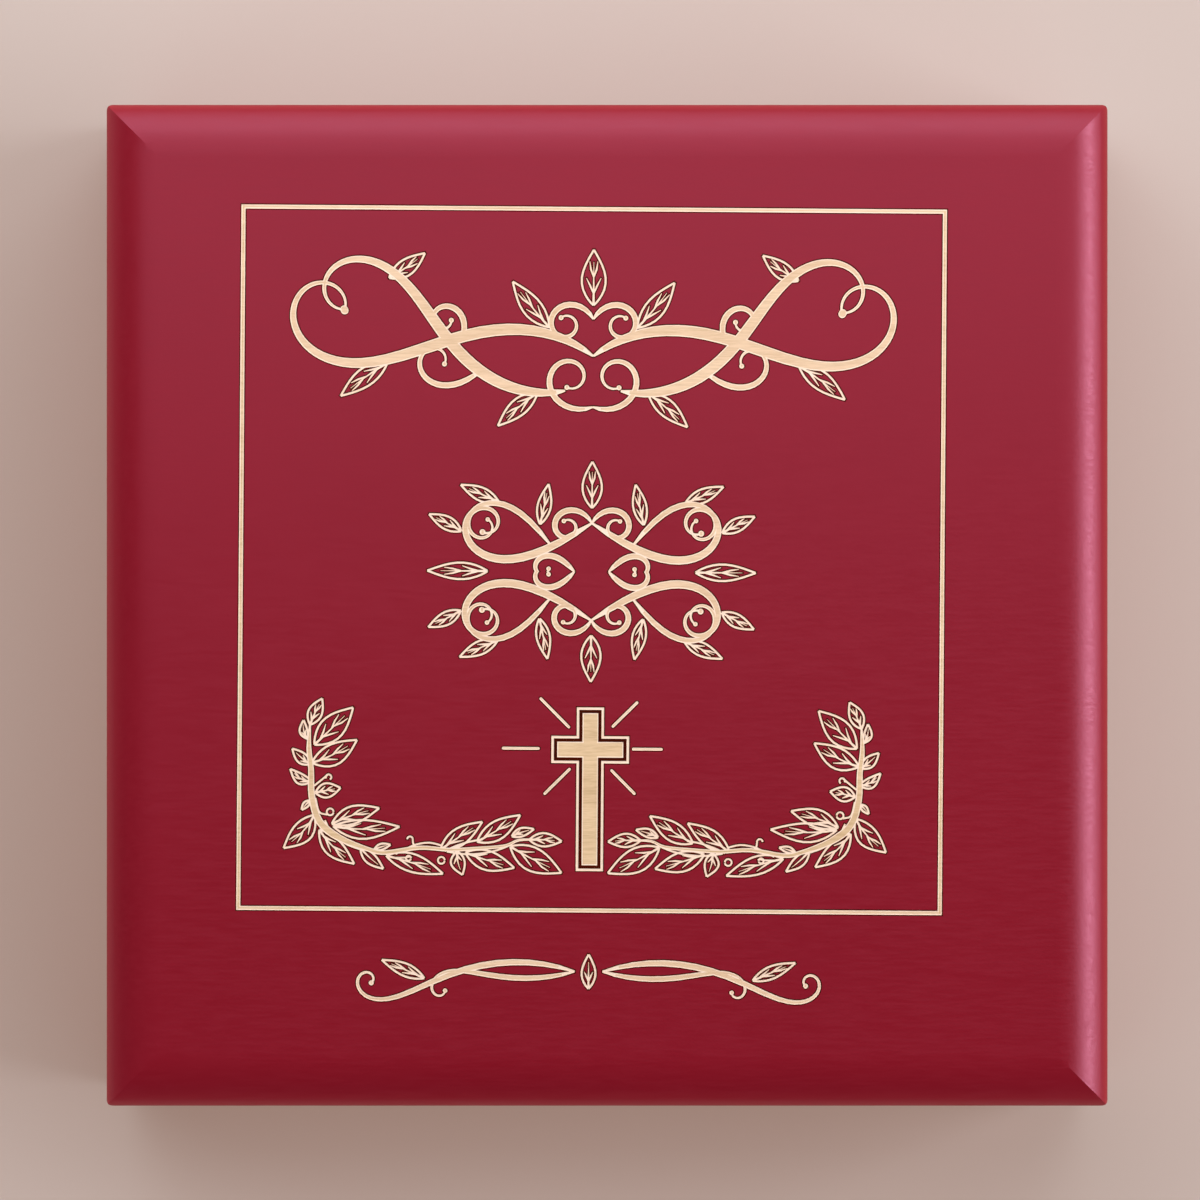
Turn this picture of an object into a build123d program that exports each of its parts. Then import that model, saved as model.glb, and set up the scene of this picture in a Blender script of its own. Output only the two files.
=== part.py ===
from build123d import *
import os
from math import atan2, cos, degrees, radians, sin, tan

# A square wooden keepsake box: four mitred walls round a grooved-in bottom panel, felt inside and under,
# and a solid bevelled lid with an engraved top, hung at the back on two small brass butt hinges.
#
# Frame: millimetres, +Z up, the front of the box towards -Y.
# The origin is the centre of the footprint, on the surface that the box stands on.

# Outside of the box
box_width = 216.0
box_depth = 216.0
wall_height = 46.0
wall_thickness = 12.0
corner_round = 1.5
arris_round = 0.6

# Lid: a flat board whose four sides fall away in an arched bevel
lid_thickness = 16.0
lid_gap = 0.3
bevel_reach = 11.5
bevel_drop = 4.0
bevel_edge_round = 4.0

# Bottom panel, let into a groove in the walls
panel_thickness = 4.0
panel_recess = 3.0
panel_tongue = 4.0
panel_side_clearance = 0.5
panel_top_clearance = 0.2

# Felt: one sheet on the bottom panel, and four round pads to stand on
felt_thickness = 1.5
felt_clearance = 0.4
foot_diameter = 10.0
foot_thickness = 2.0
foot_inset = 7.0

# Hinges: the pin stands inside the back face, so the barrel ends flush with it
open_angle = 100.0
stop_clearance = 0.2
hinge_length = 38.0
hinge_side_margin = 30.0
barrel_radius = 2.2
barrel_clearance = 0.3
knuckle_count = 5
knuckle_gap = 0.2
pin_radius = 0.9
pin_clearance = 0.03
leaf_thickness = 1.2
leaf_margin = 1.5
mortise_clearance = 0.2

# Countersunk slotted screws, two to a leaf
screw_length = 9.5
screw_radius = 1.05
screw_head_radius = 2.0
screw_head_depth = 0.9
screw_tip_length = 2.0
screw_clearance = 0.05
screw_end_margin = 8.0
screw_slot_width = 0.6
screw_slot_depth = 0.4

# Engraving in the lid's top: a border line, and a cross with its outline and six rays
engraving_depth = 0.4
engraving_shift_x = -3.6
engraving_shift_y = 9.8
engraving_turn = -0.4
border_side = 151.6
border_line = 1.1
cross_height = 35.7
cross_width = 17.1
cross_bar = 6.1
cross_arm_below_top = 9.4
cross_foot_above_border = 8.3
cross_outline = 0.6
cross_outline_gap = 0.75
ray_width = 0.75

# Each ray's direction in degrees, and where it starts and ends, measured from the crossing
rays = (
    (0, 9.0, 15.7),
    (45, 6.6, 14.5),
    (135, 6.3, 15.5),
    (180, 10.9, 19.1),
    (225, 6.0, 14.1),
    (315, 6.3, 13.9),
)

# Heights that follow from the sizes above
wall_bottom = foot_thickness
wall_top = wall_bottom + wall_height
lid_bottom = wall_top + lid_gap
lid_top = lid_bottom + lid_thickness
panel_bottom = wall_bottom + panel_recess
panel_top = panel_bottom + panel_thickness

# Inside of the walls
inner_width = box_width - 2 * wall_thickness
inner_depth = box_depth - 2 * wall_thickness

# Hinge axis, parallel to X, midway between the wall tops and the lid
barrel_mortise_radius = barrel_radius + barrel_clearance
axis_y = box_depth / 2 - barrel_mortise_radius
axis_z = wall_top + lid_gap / 2
leaf_width = wall_thickness - barrel_mortise_radius - leaf_margin
hinge_x = box_width / 2 - hinge_side_margin - hinge_length / 2
knuckle_pitch = hinge_length / knuckle_count
screw_line_y = axis_y - (barrel_mortise_radius + leaf_width) / 2
screw_offset_x = hinge_length / 2 - screw_end_margin
screw_head_angle = 2 * degrees(atan2(screw_head_radius - screw_radius, screw_head_depth))

# Places in the engraving, measured from the middle of its border
cross_top = -border_side / 2 + cross_foot_above_border + cross_height
crossing = (0, cross_top - cross_arm_below_top)

os.makedirs("parts", exist_ok=True)


def lid_section(plane, span):
    """The lid cut across from side to side: a flat top, an arched bevel down to each side, eased arrises."""
    half = span / 2
    side_height = lid_thickness - bevel_drop
    with BuildSketch(plane) as section:
        with BuildLine():
            Polyline((-half, side_height), (-half, 0), (half, 0), (half, side_height))
            Line((-half + bevel_reach, lid_thickness), (half - bevel_reach, lid_thickness))
            TangentArc((half - bevel_reach, lid_thickness), (half, side_height), tangent=(1, 0))
            TangentArc((-half + bevel_reach, lid_thickness), (-half, side_height), tangent=(-1, 0))
        make_face()
        corners = section.vertices().group_by(Axis.Y)
        fillet(corners[0], radius=arris_round)
        corners = section.vertices().filter_by(lambda v: abs(v.Y - side_height) < arris_round / 10)
        fillet(corners, radius=bevel_edge_round)
    return section.sketch


def cross_shape(margin):
    """The cross of the engraving, drawn in from its outer edge by the margin."""
    with BuildSketch() as cross:
        with Locations((0, cross_top - margin)):
            Rectangle(cross_bar - 2 * margin, cross_height - 2 * margin, align=(Align.CENTER, Align.MAX))
        with Locations(crossing):
            Rectangle(cross_width - 2 * margin, cross_bar - 2 * margin)
    return cross.sketch


# Groove along the back, cut in walls and lid alike: its two slopes meet when the lid stands fully open
with BuildPart() as stop_groove:
    half_angle = radians(open_angle / 2)
    groove_apex = -stop_clearance / sin(half_angle)
    groove_mouth = 2 * barrel_mortise_radius
    groove_half_height = (groove_mouth - groove_apex) * tan(half_angle)
    with BuildSketch(Plane(origin=(-box_width, axis_y, axis_z), x_dir=(0, 1, 0), z_dir=(1, 0, 0))):
        with BuildLine():
            Polyline(
                (groove_apex, 0),
                (groove_mouth, -groove_half_height),
                (groove_mouth, groove_half_height),
                close=True,
            )
        make_face()
    extrude(amount=2 * box_width)

# Room for the two hinges in the back wall and in the lid
with BuildPart() as hinge_mortises:
    mortise_length = hinge_length + 2 * mortise_clearance
    mortise_width = leaf_width + mortise_clearance
    for x in (-hinge_x, hinge_x):
        with BuildSketch(Plane(origin=(x, axis_y, axis_z), x_dir=(0, 1, 0), z_dir=(1, 0, 0))):
            Circle(barrel_mortise_radius)
            Rectangle(mortise_width, lid_gap + 2 * leaf_thickness, align=(Align.MAX, Align.CENTER))
        extrude(amount=mortise_length / 2, both=True)

with BuildPart() as screw_pilots:
    pilot_reach = lid_gap / 2 + screw_length + screw_clearance
    for x in (-hinge_x, hinge_x):
        for offset in (-screw_offset_x, screw_offset_x):
            with BuildSketch(Plane((x + offset, screw_line_y, axis_z))):
                Circle(screw_radius + screw_clearance)
            extrude(amount=pilot_reach, both=True)

# Lid
with BuildPart() as lid_panel:
    seen_from_front = Plane(origin=(0, box_depth / 2, lid_bottom), x_dir=(1, 0, 0), z_dir=(0, -1, 0))
    seen_from_right = Plane(origin=(-box_width / 2, 0, lid_bottom), x_dir=(0, 1, 0), z_dir=(1, 0, 0))
    extrude(lid_section(seen_from_front, box_width), amount=box_depth)
    extrude(lid_section(seen_from_right, box_depth), amount=box_width, mode=Mode.INTERSECT)
    with BuildSketch(Plane.XY.offset(lid_bottom)):
        with GridLocations(box_width, box_depth, 2, 2):
            Rectangle(2 * corner_round, 2 * corner_round)
        with GridLocations(box_width - 2 * corner_round, box_depth - 2 * corner_round, 2, 2):
            Circle(corner_round, mode=Mode.SUBTRACT)
    extrude(amount=lid_thickness, mode=Mode.SUBTRACT)
    for room in (stop_groove, hinge_mortises, screw_pilots):
        add(room.part, mode=Mode.SUBTRACT)

    turn = radians(engraving_turn)
    engraving_plane = Plane(
        origin=(engraving_shift_x, engraving_shift_y, lid_top),
        x_dir=(cos(turn), sin(turn), 0),
        z_dir=(0, 0, 1),
    )
    with BuildSketch(engraving_plane):
        Rectangle(border_side + border_line, border_side + border_line)
        Rectangle(border_side - border_line, border_side - border_line, mode=Mode.SUBTRACT)
        add(cross_shape(0))
        add(cross_shape(cross_outline), mode=Mode.SUBTRACT)
        add(cross_shape(cross_outline + cross_outline_gap))
        for angle, start, end in rays:
            with Locations(crossing):
                with PolarLocations((start + end) / 2, 1, start_angle=angle):
                    SlotOverall(end - start, ray_width)
    extrude(amount=-engraving_depth, mode=Mode.SUBTRACT)
lid_panel.part.label = "lid_panel"
export_step(lid_panel.part, "parts/lid_panel.step")

# Walls, mitred at the corners
outer_corners = [
    (x * box_width / 2, y * box_depth / 2) for x, y in ((-1, -1), (1, -1), (1, 1), (-1, 1))
]
inner_corners = [
    (x * inner_width / 2, y * inner_depth / 2) for x, y in ((-1, -1), (1, -1), (1, 1), (-1, 1))
]
for side, name in enumerate(("front_wall", "right_wall", "back_wall", "left_wall")):
    following = (side + 1) % 4
    with BuildPart() as wall:
        with BuildSketch(Plane.XY.offset(wall_bottom)):
            with BuildLine():
                Polyline(
                    outer_corners[side],
                    outer_corners[following],
                    inner_corners[following],
                    inner_corners[side],
                    close=True,
                )
            make_face()
            RectangleRounded(box_width, box_depth, corner_round, mode=Mode.INTERSECT)
        extrude(amount=wall_height)
        outer_arrises = ShapeList()
        for end_face in wall.faces().filter_by(Axis.Z):
            outer_arrises += end_face.edges().sort_by(SortBy.LENGTH)[-1:]
            outer_arrises += end_face.edges().filter_by(GeomType.CIRCLE)
        fillet(outer_arrises, radius=arris_round)
        with BuildSketch(Plane.XY.offset(panel_bottom)):
            Rectangle(inner_width + 2 * panel_tongue, inner_depth + 2 * panel_tongue)
        extrude(amount=panel_thickness + panel_top_clearance, mode=Mode.SUBTRACT)
        add(stop_groove.part, mode=Mode.SUBTRACT)
        if name == "back_wall":
            add(hinge_mortises.part, mode=Mode.SUBTRACT)
            add(screw_pilots.part, mode=Mode.SUBTRACT)
    wall.part.label = name
    export_step(wall.part, f"parts/{name}.step")

# Bottom panel, resting on the lower lip of the walls' groove
with BuildPart() as bottom_panel:
    panel_overlap = 2 * (panel_tongue - panel_side_clearance)
    with BuildSketch(Plane.XY.offset(panel_bottom)):
        Rectangle(inner_width + panel_overlap, inner_depth + panel_overlap)
    extrude(amount=panel_thickness)
bottom_panel.part.label = "bottom_panel"
export_step(bottom_panel.part, "parts/bottom_panel.step")

# Felt sheet glued to the bottom panel
with BuildPart() as floor_felt:
    with BuildSketch(Plane.XY.offset(panel_top)):
        Rectangle(inner_width - 2 * felt_clearance, inner_depth - 2 * felt_clearance)
    extrude(amount=felt_thickness)
floor_felt.part.label = "floor_felt"
export_step(floor_felt.part, "parts/floor_felt.step")

# Felt pads under the corners
foot_x = box_width / 2 - foot_inset
foot_y = box_depth / 2 - foot_inset
for name, x, y in (
    ("front_left_foot", -foot_x, -foot_y),
    ("front_right_foot", foot_x, -foot_y),
    ("back_right_foot", foot_x, foot_y),
    ("back_left_foot", -foot_x, foot_y),
):
    with BuildPart() as foot:
        with BuildSketch():
            with Locations((x, y)):
                Circle(foot_diameter / 2)
        extrude(amount=foot_thickness)
    foot.part.label = name
    export_step(foot.part, f"parts/{name}.step")


def hinge_leaf(x, side, own_knuckles, other_knuckles):
    """One brass leaf with its knuckles.

    x is the hinge's middle, side is -1 for the leaf on the wall and 1 for the leaf on the lid.
    """
    across = Plane(origin=(x - hinge_length / 2, axis_y, axis_z), x_dir=(0, 1, 0), z_dir=(1, 0, 0))
    inner_face = side * lid_gap / 2
    with BuildPart() as leaf:
        with BuildSketch(across):
            with Locations((0, inner_face + side * leaf_thickness / 2)):
                Rectangle(leaf_width, leaf_thickness, align=(Align.MAX, Align.CENTER))
        extrude(amount=hinge_length)
        for knuckle in own_knuckles:
            with BuildSketch(across.offset(knuckle * knuckle_pitch + knuckle_gap / 2)):
                Circle(barrel_radius)
            extrude(amount=knuckle_pitch - knuckle_gap)
        for knuckle in other_knuckles:
            with BuildSketch(across.offset(knuckle * knuckle_pitch - knuckle_gap / 2)):
                Circle(barrel_radius + barrel_clearance / 2)
            extrude(amount=knuckle_pitch + knuckle_gap, mode=Mode.SUBTRACT)
        with BuildSketch(across):
            Circle(pin_radius + pin_clearance)
        extrude(amount=hinge_length, mode=Mode.SUBTRACT)
        for offset_x in (-screw_offset_x, screw_offset_x):
            head_place = Plane(
                origin=(x + offset_x, screw_line_y, axis_z + inner_face), z_dir=(0, 0, -side)
            )
            with Locations(head_place):
                CounterSinkHole(
                    radius=screw_radius + screw_clearance,
                    counter_sink_radius=screw_head_radius + screw_clearance,
                    depth=leaf_thickness,
                    counter_sink_angle=screw_head_angle,
                )
    return leaf


def hinge_screws(x, side):
    """The two screws of one leaf, heads level with its inner face, as one group of separate solids."""
    inner_face = axis_z + side * lid_gap / 2
    with BuildPart() as screws:
        for offset_x in (-screw_offset_x, screw_offset_x):
            origin = (x + offset_x, screw_line_y, inner_face)
            with BuildSketch(Plane(origin=origin, x_dir=(1, 0, 0), z_dir=(0, -side, 0))):
                with BuildLine():
                    Polyline(
                        (0, 0),
                        (screw_head_radius, 0),
                        (screw_radius, screw_head_depth),
                        (screw_radius, screw_length - screw_tip_length),
                        (0, screw_length),
                        close=True,
                    )
                make_face()
            revolve(axis=Axis(origin, (0, 0, 1)))
            with BuildSketch(Plane(origin=origin, z_dir=(0, 0, side))):
                Rectangle(2 * screw_head_radius, screw_slot_width)
            extrude(amount=screw_slot_depth, mode=Mode.SUBTRACT)
    return screws


wall_knuckles = range(0, knuckle_count, 2)
lid_knuckles = range(1, knuckle_count, 2)
for hand, x in (("left", -hinge_x), ("right", hinge_x)):
    wall_leaf = hinge_leaf(x, -1, wall_knuckles, lid_knuckles)
    wall_leaf.part.label = f"{hand}_hinge_wall_leaf"
    export_step(wall_leaf.part, f"parts/{hand}_hinge_wall_leaf.step")

    lid_leaf = hinge_leaf(x, 1, lid_knuckles, wall_knuckles)
    lid_leaf.part.label = f"{hand}_hinge_lid_leaf"
    export_step(lid_leaf.part, f"parts/{hand}_hinge_lid_leaf.step")

    with BuildPart() as hinge_pin:
        start = Plane(origin=(x - hinge_length / 2, axis_y, axis_z), x_dir=(0, 1, 0), z_dir=(1, 0, 0))
        with BuildSketch(start):
            Circle(pin_radius)
        extrude(amount=hinge_length)
    hinge_pin.part.label = f"{hand}_hinge_pin"
    export_step(hinge_pin.part, f"parts/{hand}_hinge_pin.step")

    wall_screws = hinge_screws(x, -1)
    wall_screws.part.label = f"{hand}_hinge_wall_screws"
    export_step(wall_screws.part, f"parts/{hand}_hinge_wall_screws.step")

    lid_screws = hinge_screws(x, 1)
    lid_screws.part.label = f"{hand}_hinge_lid_screws"
    export_step(lid_screws.part, f"parts/{hand}_hinge_lid_screws.step")
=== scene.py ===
"""Looks of a square keepsake box: an engraved, lacquered lid on mitred walls, and felt inside and under.

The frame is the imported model's: metres, +Z up, the front towards -Y. The lid's own shape is worked out in
millimetres, and its engraving in millimetres from the middle of its border.
"""

import logging
import math
from dataclasses import dataclass, field
from enum import Enum, IntEnum

import bmesh
import bpy
import numpy as np
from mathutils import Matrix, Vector
from mathutils.geometry import delaunay_2d_cdt


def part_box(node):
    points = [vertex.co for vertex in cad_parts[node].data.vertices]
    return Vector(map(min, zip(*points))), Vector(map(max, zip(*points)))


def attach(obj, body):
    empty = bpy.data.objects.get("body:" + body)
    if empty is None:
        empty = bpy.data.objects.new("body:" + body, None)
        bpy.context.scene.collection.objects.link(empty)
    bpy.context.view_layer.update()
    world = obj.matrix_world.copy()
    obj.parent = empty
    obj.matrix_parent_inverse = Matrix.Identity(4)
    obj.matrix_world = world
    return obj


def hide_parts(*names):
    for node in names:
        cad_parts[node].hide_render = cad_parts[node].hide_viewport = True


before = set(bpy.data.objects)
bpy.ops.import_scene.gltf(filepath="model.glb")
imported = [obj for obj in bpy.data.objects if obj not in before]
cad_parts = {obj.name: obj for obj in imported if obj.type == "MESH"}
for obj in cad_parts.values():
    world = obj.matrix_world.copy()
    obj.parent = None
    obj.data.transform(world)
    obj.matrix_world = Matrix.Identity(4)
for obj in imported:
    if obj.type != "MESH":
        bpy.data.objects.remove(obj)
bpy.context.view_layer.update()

log = logging.getLogger("keepsake_box")

MM = 0.001
WELD_MM = 0.0001

Array = np.ndarray
Point = tuple[float, float]
Triple = tuple[float, float, float]
Colour = Triple


class Grain(Enum):
    """Which way the wood's grain runs, as the stretch of its pattern along X, Y and Z."""

    ALONG_X = (0.08, 1.0, 1.0)
    ALONG_Y = (1.0, 0.08, 1.0)


class Cut(IntEnum):
    """What the engraving tool leaves. RIM, CORE and DEEP are a groove's floor, and WALL is its side. The
    darkened lacquer round a cut is partly charring and partly painted shade at the groove's edge.
    """

    LACQUER = 0
    # Lacquer darkened round a cut: partly charring, partly painted shade at the groove's edge.
    SCORCH = 1
    RIM = 2
    CORE = 3
    DEEP = 4
    WALL = 5


FINEST_LINE = 0.06
FINE_LINE = 0.42
# How far past a cut's edge the lacquer is darkened: partly charring, partly painted shade.
CHAR_AND_SHADE_REACH = 0.23
RIM_WIDTH = 0.24
PALE_LINE = ((CHAR_AND_SHADE_REACH, Cut.SCORCH), (0.0, Cut.RIM), (-RIM_WIDTH, Cut.CORE))
TAN_LINE = ((CHAR_AND_SHADE_REACH, Cut.SCORCH), (0.0, Cut.RIM), (-RIM_WIDTH, Cut.DEEP))


# Curves


def through(points: list[Point], steps: int = 5) -> Array:
    """A smooth line through the points.

    Between two points it is the Catmull-Rom cubic, whose slope at each point is half the way from the point
    before to the point after.

    Args:
        points: The points that the line goes through.
        steps: How many pieces each stretch is cut into.

    Returns:
        The line's points, one row each.
    """
    given = np.asarray(points, float)
    run = np.vstack([2 * given[0] - given[1], given, 2 * given[-1] - given[-2]])
    share = np.linspace(0, 1, steps, endpoint=False)[None, :, None]
    before, start, end, after = (run[i : len(run) - 3 + i, None] for i in range(4))
    line = start + 0.5 * share * (
        (end - before)
        + share * (2 * before - 5 * start + 4 * end - after)
        + share**2 * (3 * start - before - 3 * end + after)
    )
    return np.vstack([line.reshape(-1, 2), given[-1]])


@dataclass(frozen=True)
class Stroke:
    """A line of changing width: the points along its middle, and its width at each of them."""

    points: Array
    widths: Array

    def resized(self, grow: float) -> "Stroke":
        """The stroke with its edges and ends moved outwards.

        Args:
            grow: How far the edges move. Below 0 they move inwards, and tails that are too thin for that go.

        Returns:
            The new stroke, which may be empty.
        """
        widths = self.widths + 2 * grow
        kept = np.flatnonzero(widths > FINEST_LINE)
        if len(kept) < 2 or grow == 0:
            return self if grow == 0 else Stroke(self.points[:0], self.widths[:0])
        points = self.points[kept[0] : kept[-1] + 1].copy()
        widths = np.maximum(widths[kept[0] : kept[-1] + 1], FINEST_LINE)
        for end, inner in ((0, 1), (-1, -2)):
            outwards = points[end] - points[inner]
            points[end] += outwards * grow / np.linalg.norm(outwards)
        return Stroke(points, widths)

    def edges(self) -> tuple[Array, Array]:
        """The left and right edges: the middle line plus and minus half the width along its normal.

        Returns:
            The left edge's points and the right one's, one row each.
        """
        along = np.gradient(self.points, axis=0)
        across = np.stack([-along[:, 1], along[:, 0]], axis=1)
        across /= np.linalg.norm(across, axis=1, keepdims=True)
        reach = across * self.widths[:, None] / 2
        return self.points + reach, self.points - reach

    def loop(self) -> Array:
        """The closed outline: along the left edge and back along the right one."""
        left, right = self.edges()
        return np.vstack([left, right[::-1]])

    def covers(self, places: Array) -> Array:
        """Which places lie in the stroke: inside all four edges of one of the cells between its two edges.

        Args:
            places: The places to test, one row each.

        Returns:
            True for each place inside.
        """
        left, right = self.edges()
        cells = np.stack([left[:-1], right[:-1], right[1:], left[1:]], axis=1)
        sides = np.roll(cells, -1, axis=1) - cells
        near = np.flatnonzero(
            (places >= cells.min(axis=(0, 1))).all(axis=1) & (places <= cells.max(axis=(0, 1))).all(axis=1)
        )
        reach = places[near, None, None] - cells[None]
        turn = sides[None, ..., 0] * reach[..., 1] - sides[None, ..., 1] * reach[..., 0]
        inside = np.zeros(len(places), bool)
        inside[near] = (turn >= 0).all(axis=2).any(axis=1)
        return inside


@dataclass(frozen=True)
class Pen:
    """A calligraphy pen, whose lines start thin, swell and end thin.

    They are fullest at a share of their length, and end in a ball where the pen's ball isn't 0.
    """

    thick: float = 1.2
    thin: float = 0.4
    fullest_at: float = 0.35
    steps: int = 40
    ball: float = 0.0

    def scroll(self, start: Point, heading: float, length: float, turns: Point, power: float) -> list[Stroke]:
        """A swelling line that curls in on itself, with a ball at its end.

        The turn per millimetre goes from the first value to the second with the given power of the share of
        the length: a power of 1 is a clothoid, and a higher one a long sweep with a tight curl. Its points
        stand evenly in effort, which is the turn so far plus a little for the length, so curls get the most.

        Args:
            start: Where it begins.
            heading: Its first direction, in degrees.
            length: Its whole length.
            turns: Its turn per millimetre at the start and at the end, in degrees, positive to the left.
            power: How late the curl comes.

        Returns:
            The line and, where the pen has one, the ball.
        """
        samples, straight_effort = 400, 2
        share = np.linspace(0, 1, samples)
        turn = np.radians(turns[0] + (turns[1] - turns[0]) * share**power) * length
        angle = math.radians(heading) + summed(turn)
        line = np.stack([summed(np.cos(angle)), summed(np.sin(angle))], axis=1) * length + start
        effort = summed(np.abs(turn)) + straight_effort * share
        picked = np.interp(np.linspace(0, 1, self.steps), effort / effort[-1], share)
        middle = np.stack([np.interp(picked, share, line[:, axis]) for axis in (0, 1)], axis=1)
        swell = np.sin(np.pi * picked ** (math.log(0.5) / math.log(self.fullest_at)))
        strokes = [Stroke(middle, self.thin + (self.thick - self.thin) * swell)]
        if self.ball:
            strokes.append(dot(middle[-1], self.ball))
        return strokes


def summed(values: Array) -> Array:
    """The running integral over a share from 0 to 1, by the trapezium rule."""
    steps = (values[1:] + values[:-1]) / 2 / (len(values) - 1)
    return np.concatenate([[0.0], np.cumsum(steps)])


def dot(centre: Array, diameter: float) -> Stroke:
    """A round dot, as a stroke across it whose width at each place is the circle's chord.

    Args:
        centre: Its middle.
        diameter: How wide it is.

    Returns:
        The dot's stroke.
    """
    angle = np.linspace(np.pi, 0, 9)
    radius = diameter / 2
    middle = np.stack([centre[0] + radius * np.cos(angle), np.full(len(angle), centre[1])], axis=1)
    return Stroke(middle, np.maximum(diameter * np.sin(angle), FINEST_LINE / 4))


def ring(centre: Point, radius: float, start: float = 0.0, sweep: float = 350.0) -> Stroke:
    """A fine line along a circle's arc.

    Args:
        centre: The circle's middle.
        radius: The circle's radius.
        start: Where the arc begins, in degrees from the right.
        sweep: How far round it goes, in degrees anticlockwise.

    Returns:
        The arc's stroke.
    """
    angle = np.radians(start + np.linspace(0, sweep, 12))
    line = np.array(centre) + radius * np.stack([np.cos(angle), np.sin(angle)], axis=1)
    return Stroke(line, np.full(len(line), FINE_LINE))


def bar(start: Point, end: Point, width: float) -> Stroke:
    """A straight bar of even width with square ends."""
    return Stroke(np.array([start, end], float), np.full(2, width))


def rounded_bar(centre: Point, angle: float, near: float, far: float, width: float) -> Stroke:
    """A ray with round ends: a bar whose width at its ends is a half circle's chord.

    Args:
        centre: The point that it points away from.
        angle: Its direction, in degrees.
        near: Its distance from the centre.
        far: The distance of its outer end.
        width: Its width.

    Returns:
        The ray's stroke.
    """
    radius = width / 2
    quarter = np.linspace(0, np.pi / 2, 5)
    inset = radius * (1 - np.cos(quarter))
    along = np.concatenate([near + inset, far - inset[::-1]])
    chord = np.maximum(width * np.sin(np.concatenate([quarter, quarter[::-1]])), FINEST_LINE / 4)
    direction = np.array([math.cos(math.radians(angle)), math.sin(math.radians(angle))])
    return Stroke(np.array(centre) + along[:, None] * direction, chord)


# A leaf's rib and veins, as shares of its length, of the way to its edge, and of its line's width
RIB_BEND = 0.45
RIB_END = 0.78
RIB_TAPER = (1.2, 0.25)
VEIN_ROOTS = (0.14, 0.44)
RIGHT_VEIN_LATER = 0.07
VEIN_ALONG = np.array([0.0, 0.14, 0.28])
VEIN_OUTWARDS = np.array([0.0, 0.30, 0.62])
VEIN_TAPER = np.array([0.8, 0.9, 0.35])


@dataclass(frozen=True)
class Leaf:
    """A line-drawn leaf: two arched edges, a bent rib and side veins.

    An edge stands off the line from base to tip by its bulge times sin(pi * share^0.85), so it is fullest
    just before the middle.
    """

    base: Point
    tip: Point
    left: float
    right: float
    veins: int
    line: float = 0.46

    def at(self, share: Array, bulge: Array | float) -> Array:
        """Places on a line from the leaf's base to its tip, which bulges to the left.

        Args:
            share: How far along the leaf each place is, as a share of its length.
            bulge: How far the line stands off at its fullest, for all the places or for each.

        Returns:
            The places, one row each.
        """
        base = np.array(self.base)
        along = np.array(self.tip) - base
        across = np.array([-along[1], along[0]]) / np.linalg.norm(along)
        out = bulge * np.sin(np.pi * share**0.85)
        return base + share[:, None] * along + out[:, None] * across

    def strokes(self) -> list[Stroke]:
        """The leaf's lines: both edges, a tapering rib, and tapering veins on each side of it.

        Returns:
            The strokes, with the edges first.
        """
        edge_points, rib_points = 15, 6
        share = (1 - np.cos(np.linspace(0, np.pi, edge_points))) / 2
        width = np.full(edge_points, self.line)
        lines = [Stroke(self.at(share, bulge), width) for bulge in (self.left, -self.right)]
        rib_bulge = RIB_BEND * (self.left - self.right)
        rib = self.at(np.linspace(0, RIB_END, rib_points), rib_bulge)
        lines.append(Stroke(rib, self.line * np.linspace(*RIB_TAPER, rib_points)))
        for root in np.linspace(*VEIN_ROOTS, self.veins):
            for edge, later in ((self.left, 0.0), (-self.right, RIGHT_VEIN_LATER)):
                outwards = rib_bulge + (edge - rib_bulge) * VEIN_OUTWARDS
                vein = self.at(root + later + VEIN_ALONG, outwards)
                lines.append(Stroke(vein, self.line * VEIN_TAPER))
        return lines


# Engraving


@dataclass(frozen=True)
class FlatMesh:
    """Triangles in a plane, and what each of them is."""

    points: Array
    corners: Array
    kinds: Array


@dataclass(frozen=True)
class Mark:
    """An engraved figure: strokes, and the nested margins that bound what the tool leaves inside each.

    A margin is how far an outline lies outside the strokes' own edges, and what it bounds reaches to the
    next one.
    """

    strokes: list[Stroke]
    layers: tuple[tuple[float, Cut], ...]

    def loops(self) -> list[Array]:
        """Every outline that the mark's layers draw."""
        drawn = [stroke.resized(margin) for margin, _ in self.layers for stroke in self.strokes]
        return [stroke.loop() for stroke in drawn if len(stroke.points)]

    def kinds(self, places: Array) -> Array:
        """What each place is: the last of the layers, from outside in, that covers it.

        Args:
            places: The places to class, one row each.

        Returns:
            The number of a Cut for each place.
        """
        found = np.full(len(places), Cut.LACQUER, int)
        for margin, kind in self.layers:
            for stroke in self.strokes:
                drawn = stroke.resized(margin)
                if len(drawn.points):
                    found[drawn.covers(places)] = kind
        return found


def box_loop(left: float, right: float, low: float, high: float) -> Array:
    """The corners of an upright rectangle, anticlockwise."""
    return np.array([(left, low), (right, low), (right, high), (left, high)], float)


def inside_loop(places: Array, loop: Array) -> Array:
    """Which places a loop holds: those from which a ray to the right crosses it an odd number of times.

    Args:
        places: The places to test, one row each.
        loop: The closed outline's points.

    Returns:
        True for each place inside.
    """
    start, end = loop[None], np.roll(loop, -1, axis=0)[None]
    x, y = places[:, None, 0], places[:, None, 1]
    straddles = (start[..., 1] > y) != (end[..., 1] > y)
    rise = np.where(straddles, end[..., 1] - start[..., 1], 1.0)
    crossing = start[..., 0] + (y - start[..., 1]) * (end[..., 0] - start[..., 0]) / rise
    return (straddles & (x < crossing)).sum(axis=1) % 2 == 1


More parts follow.
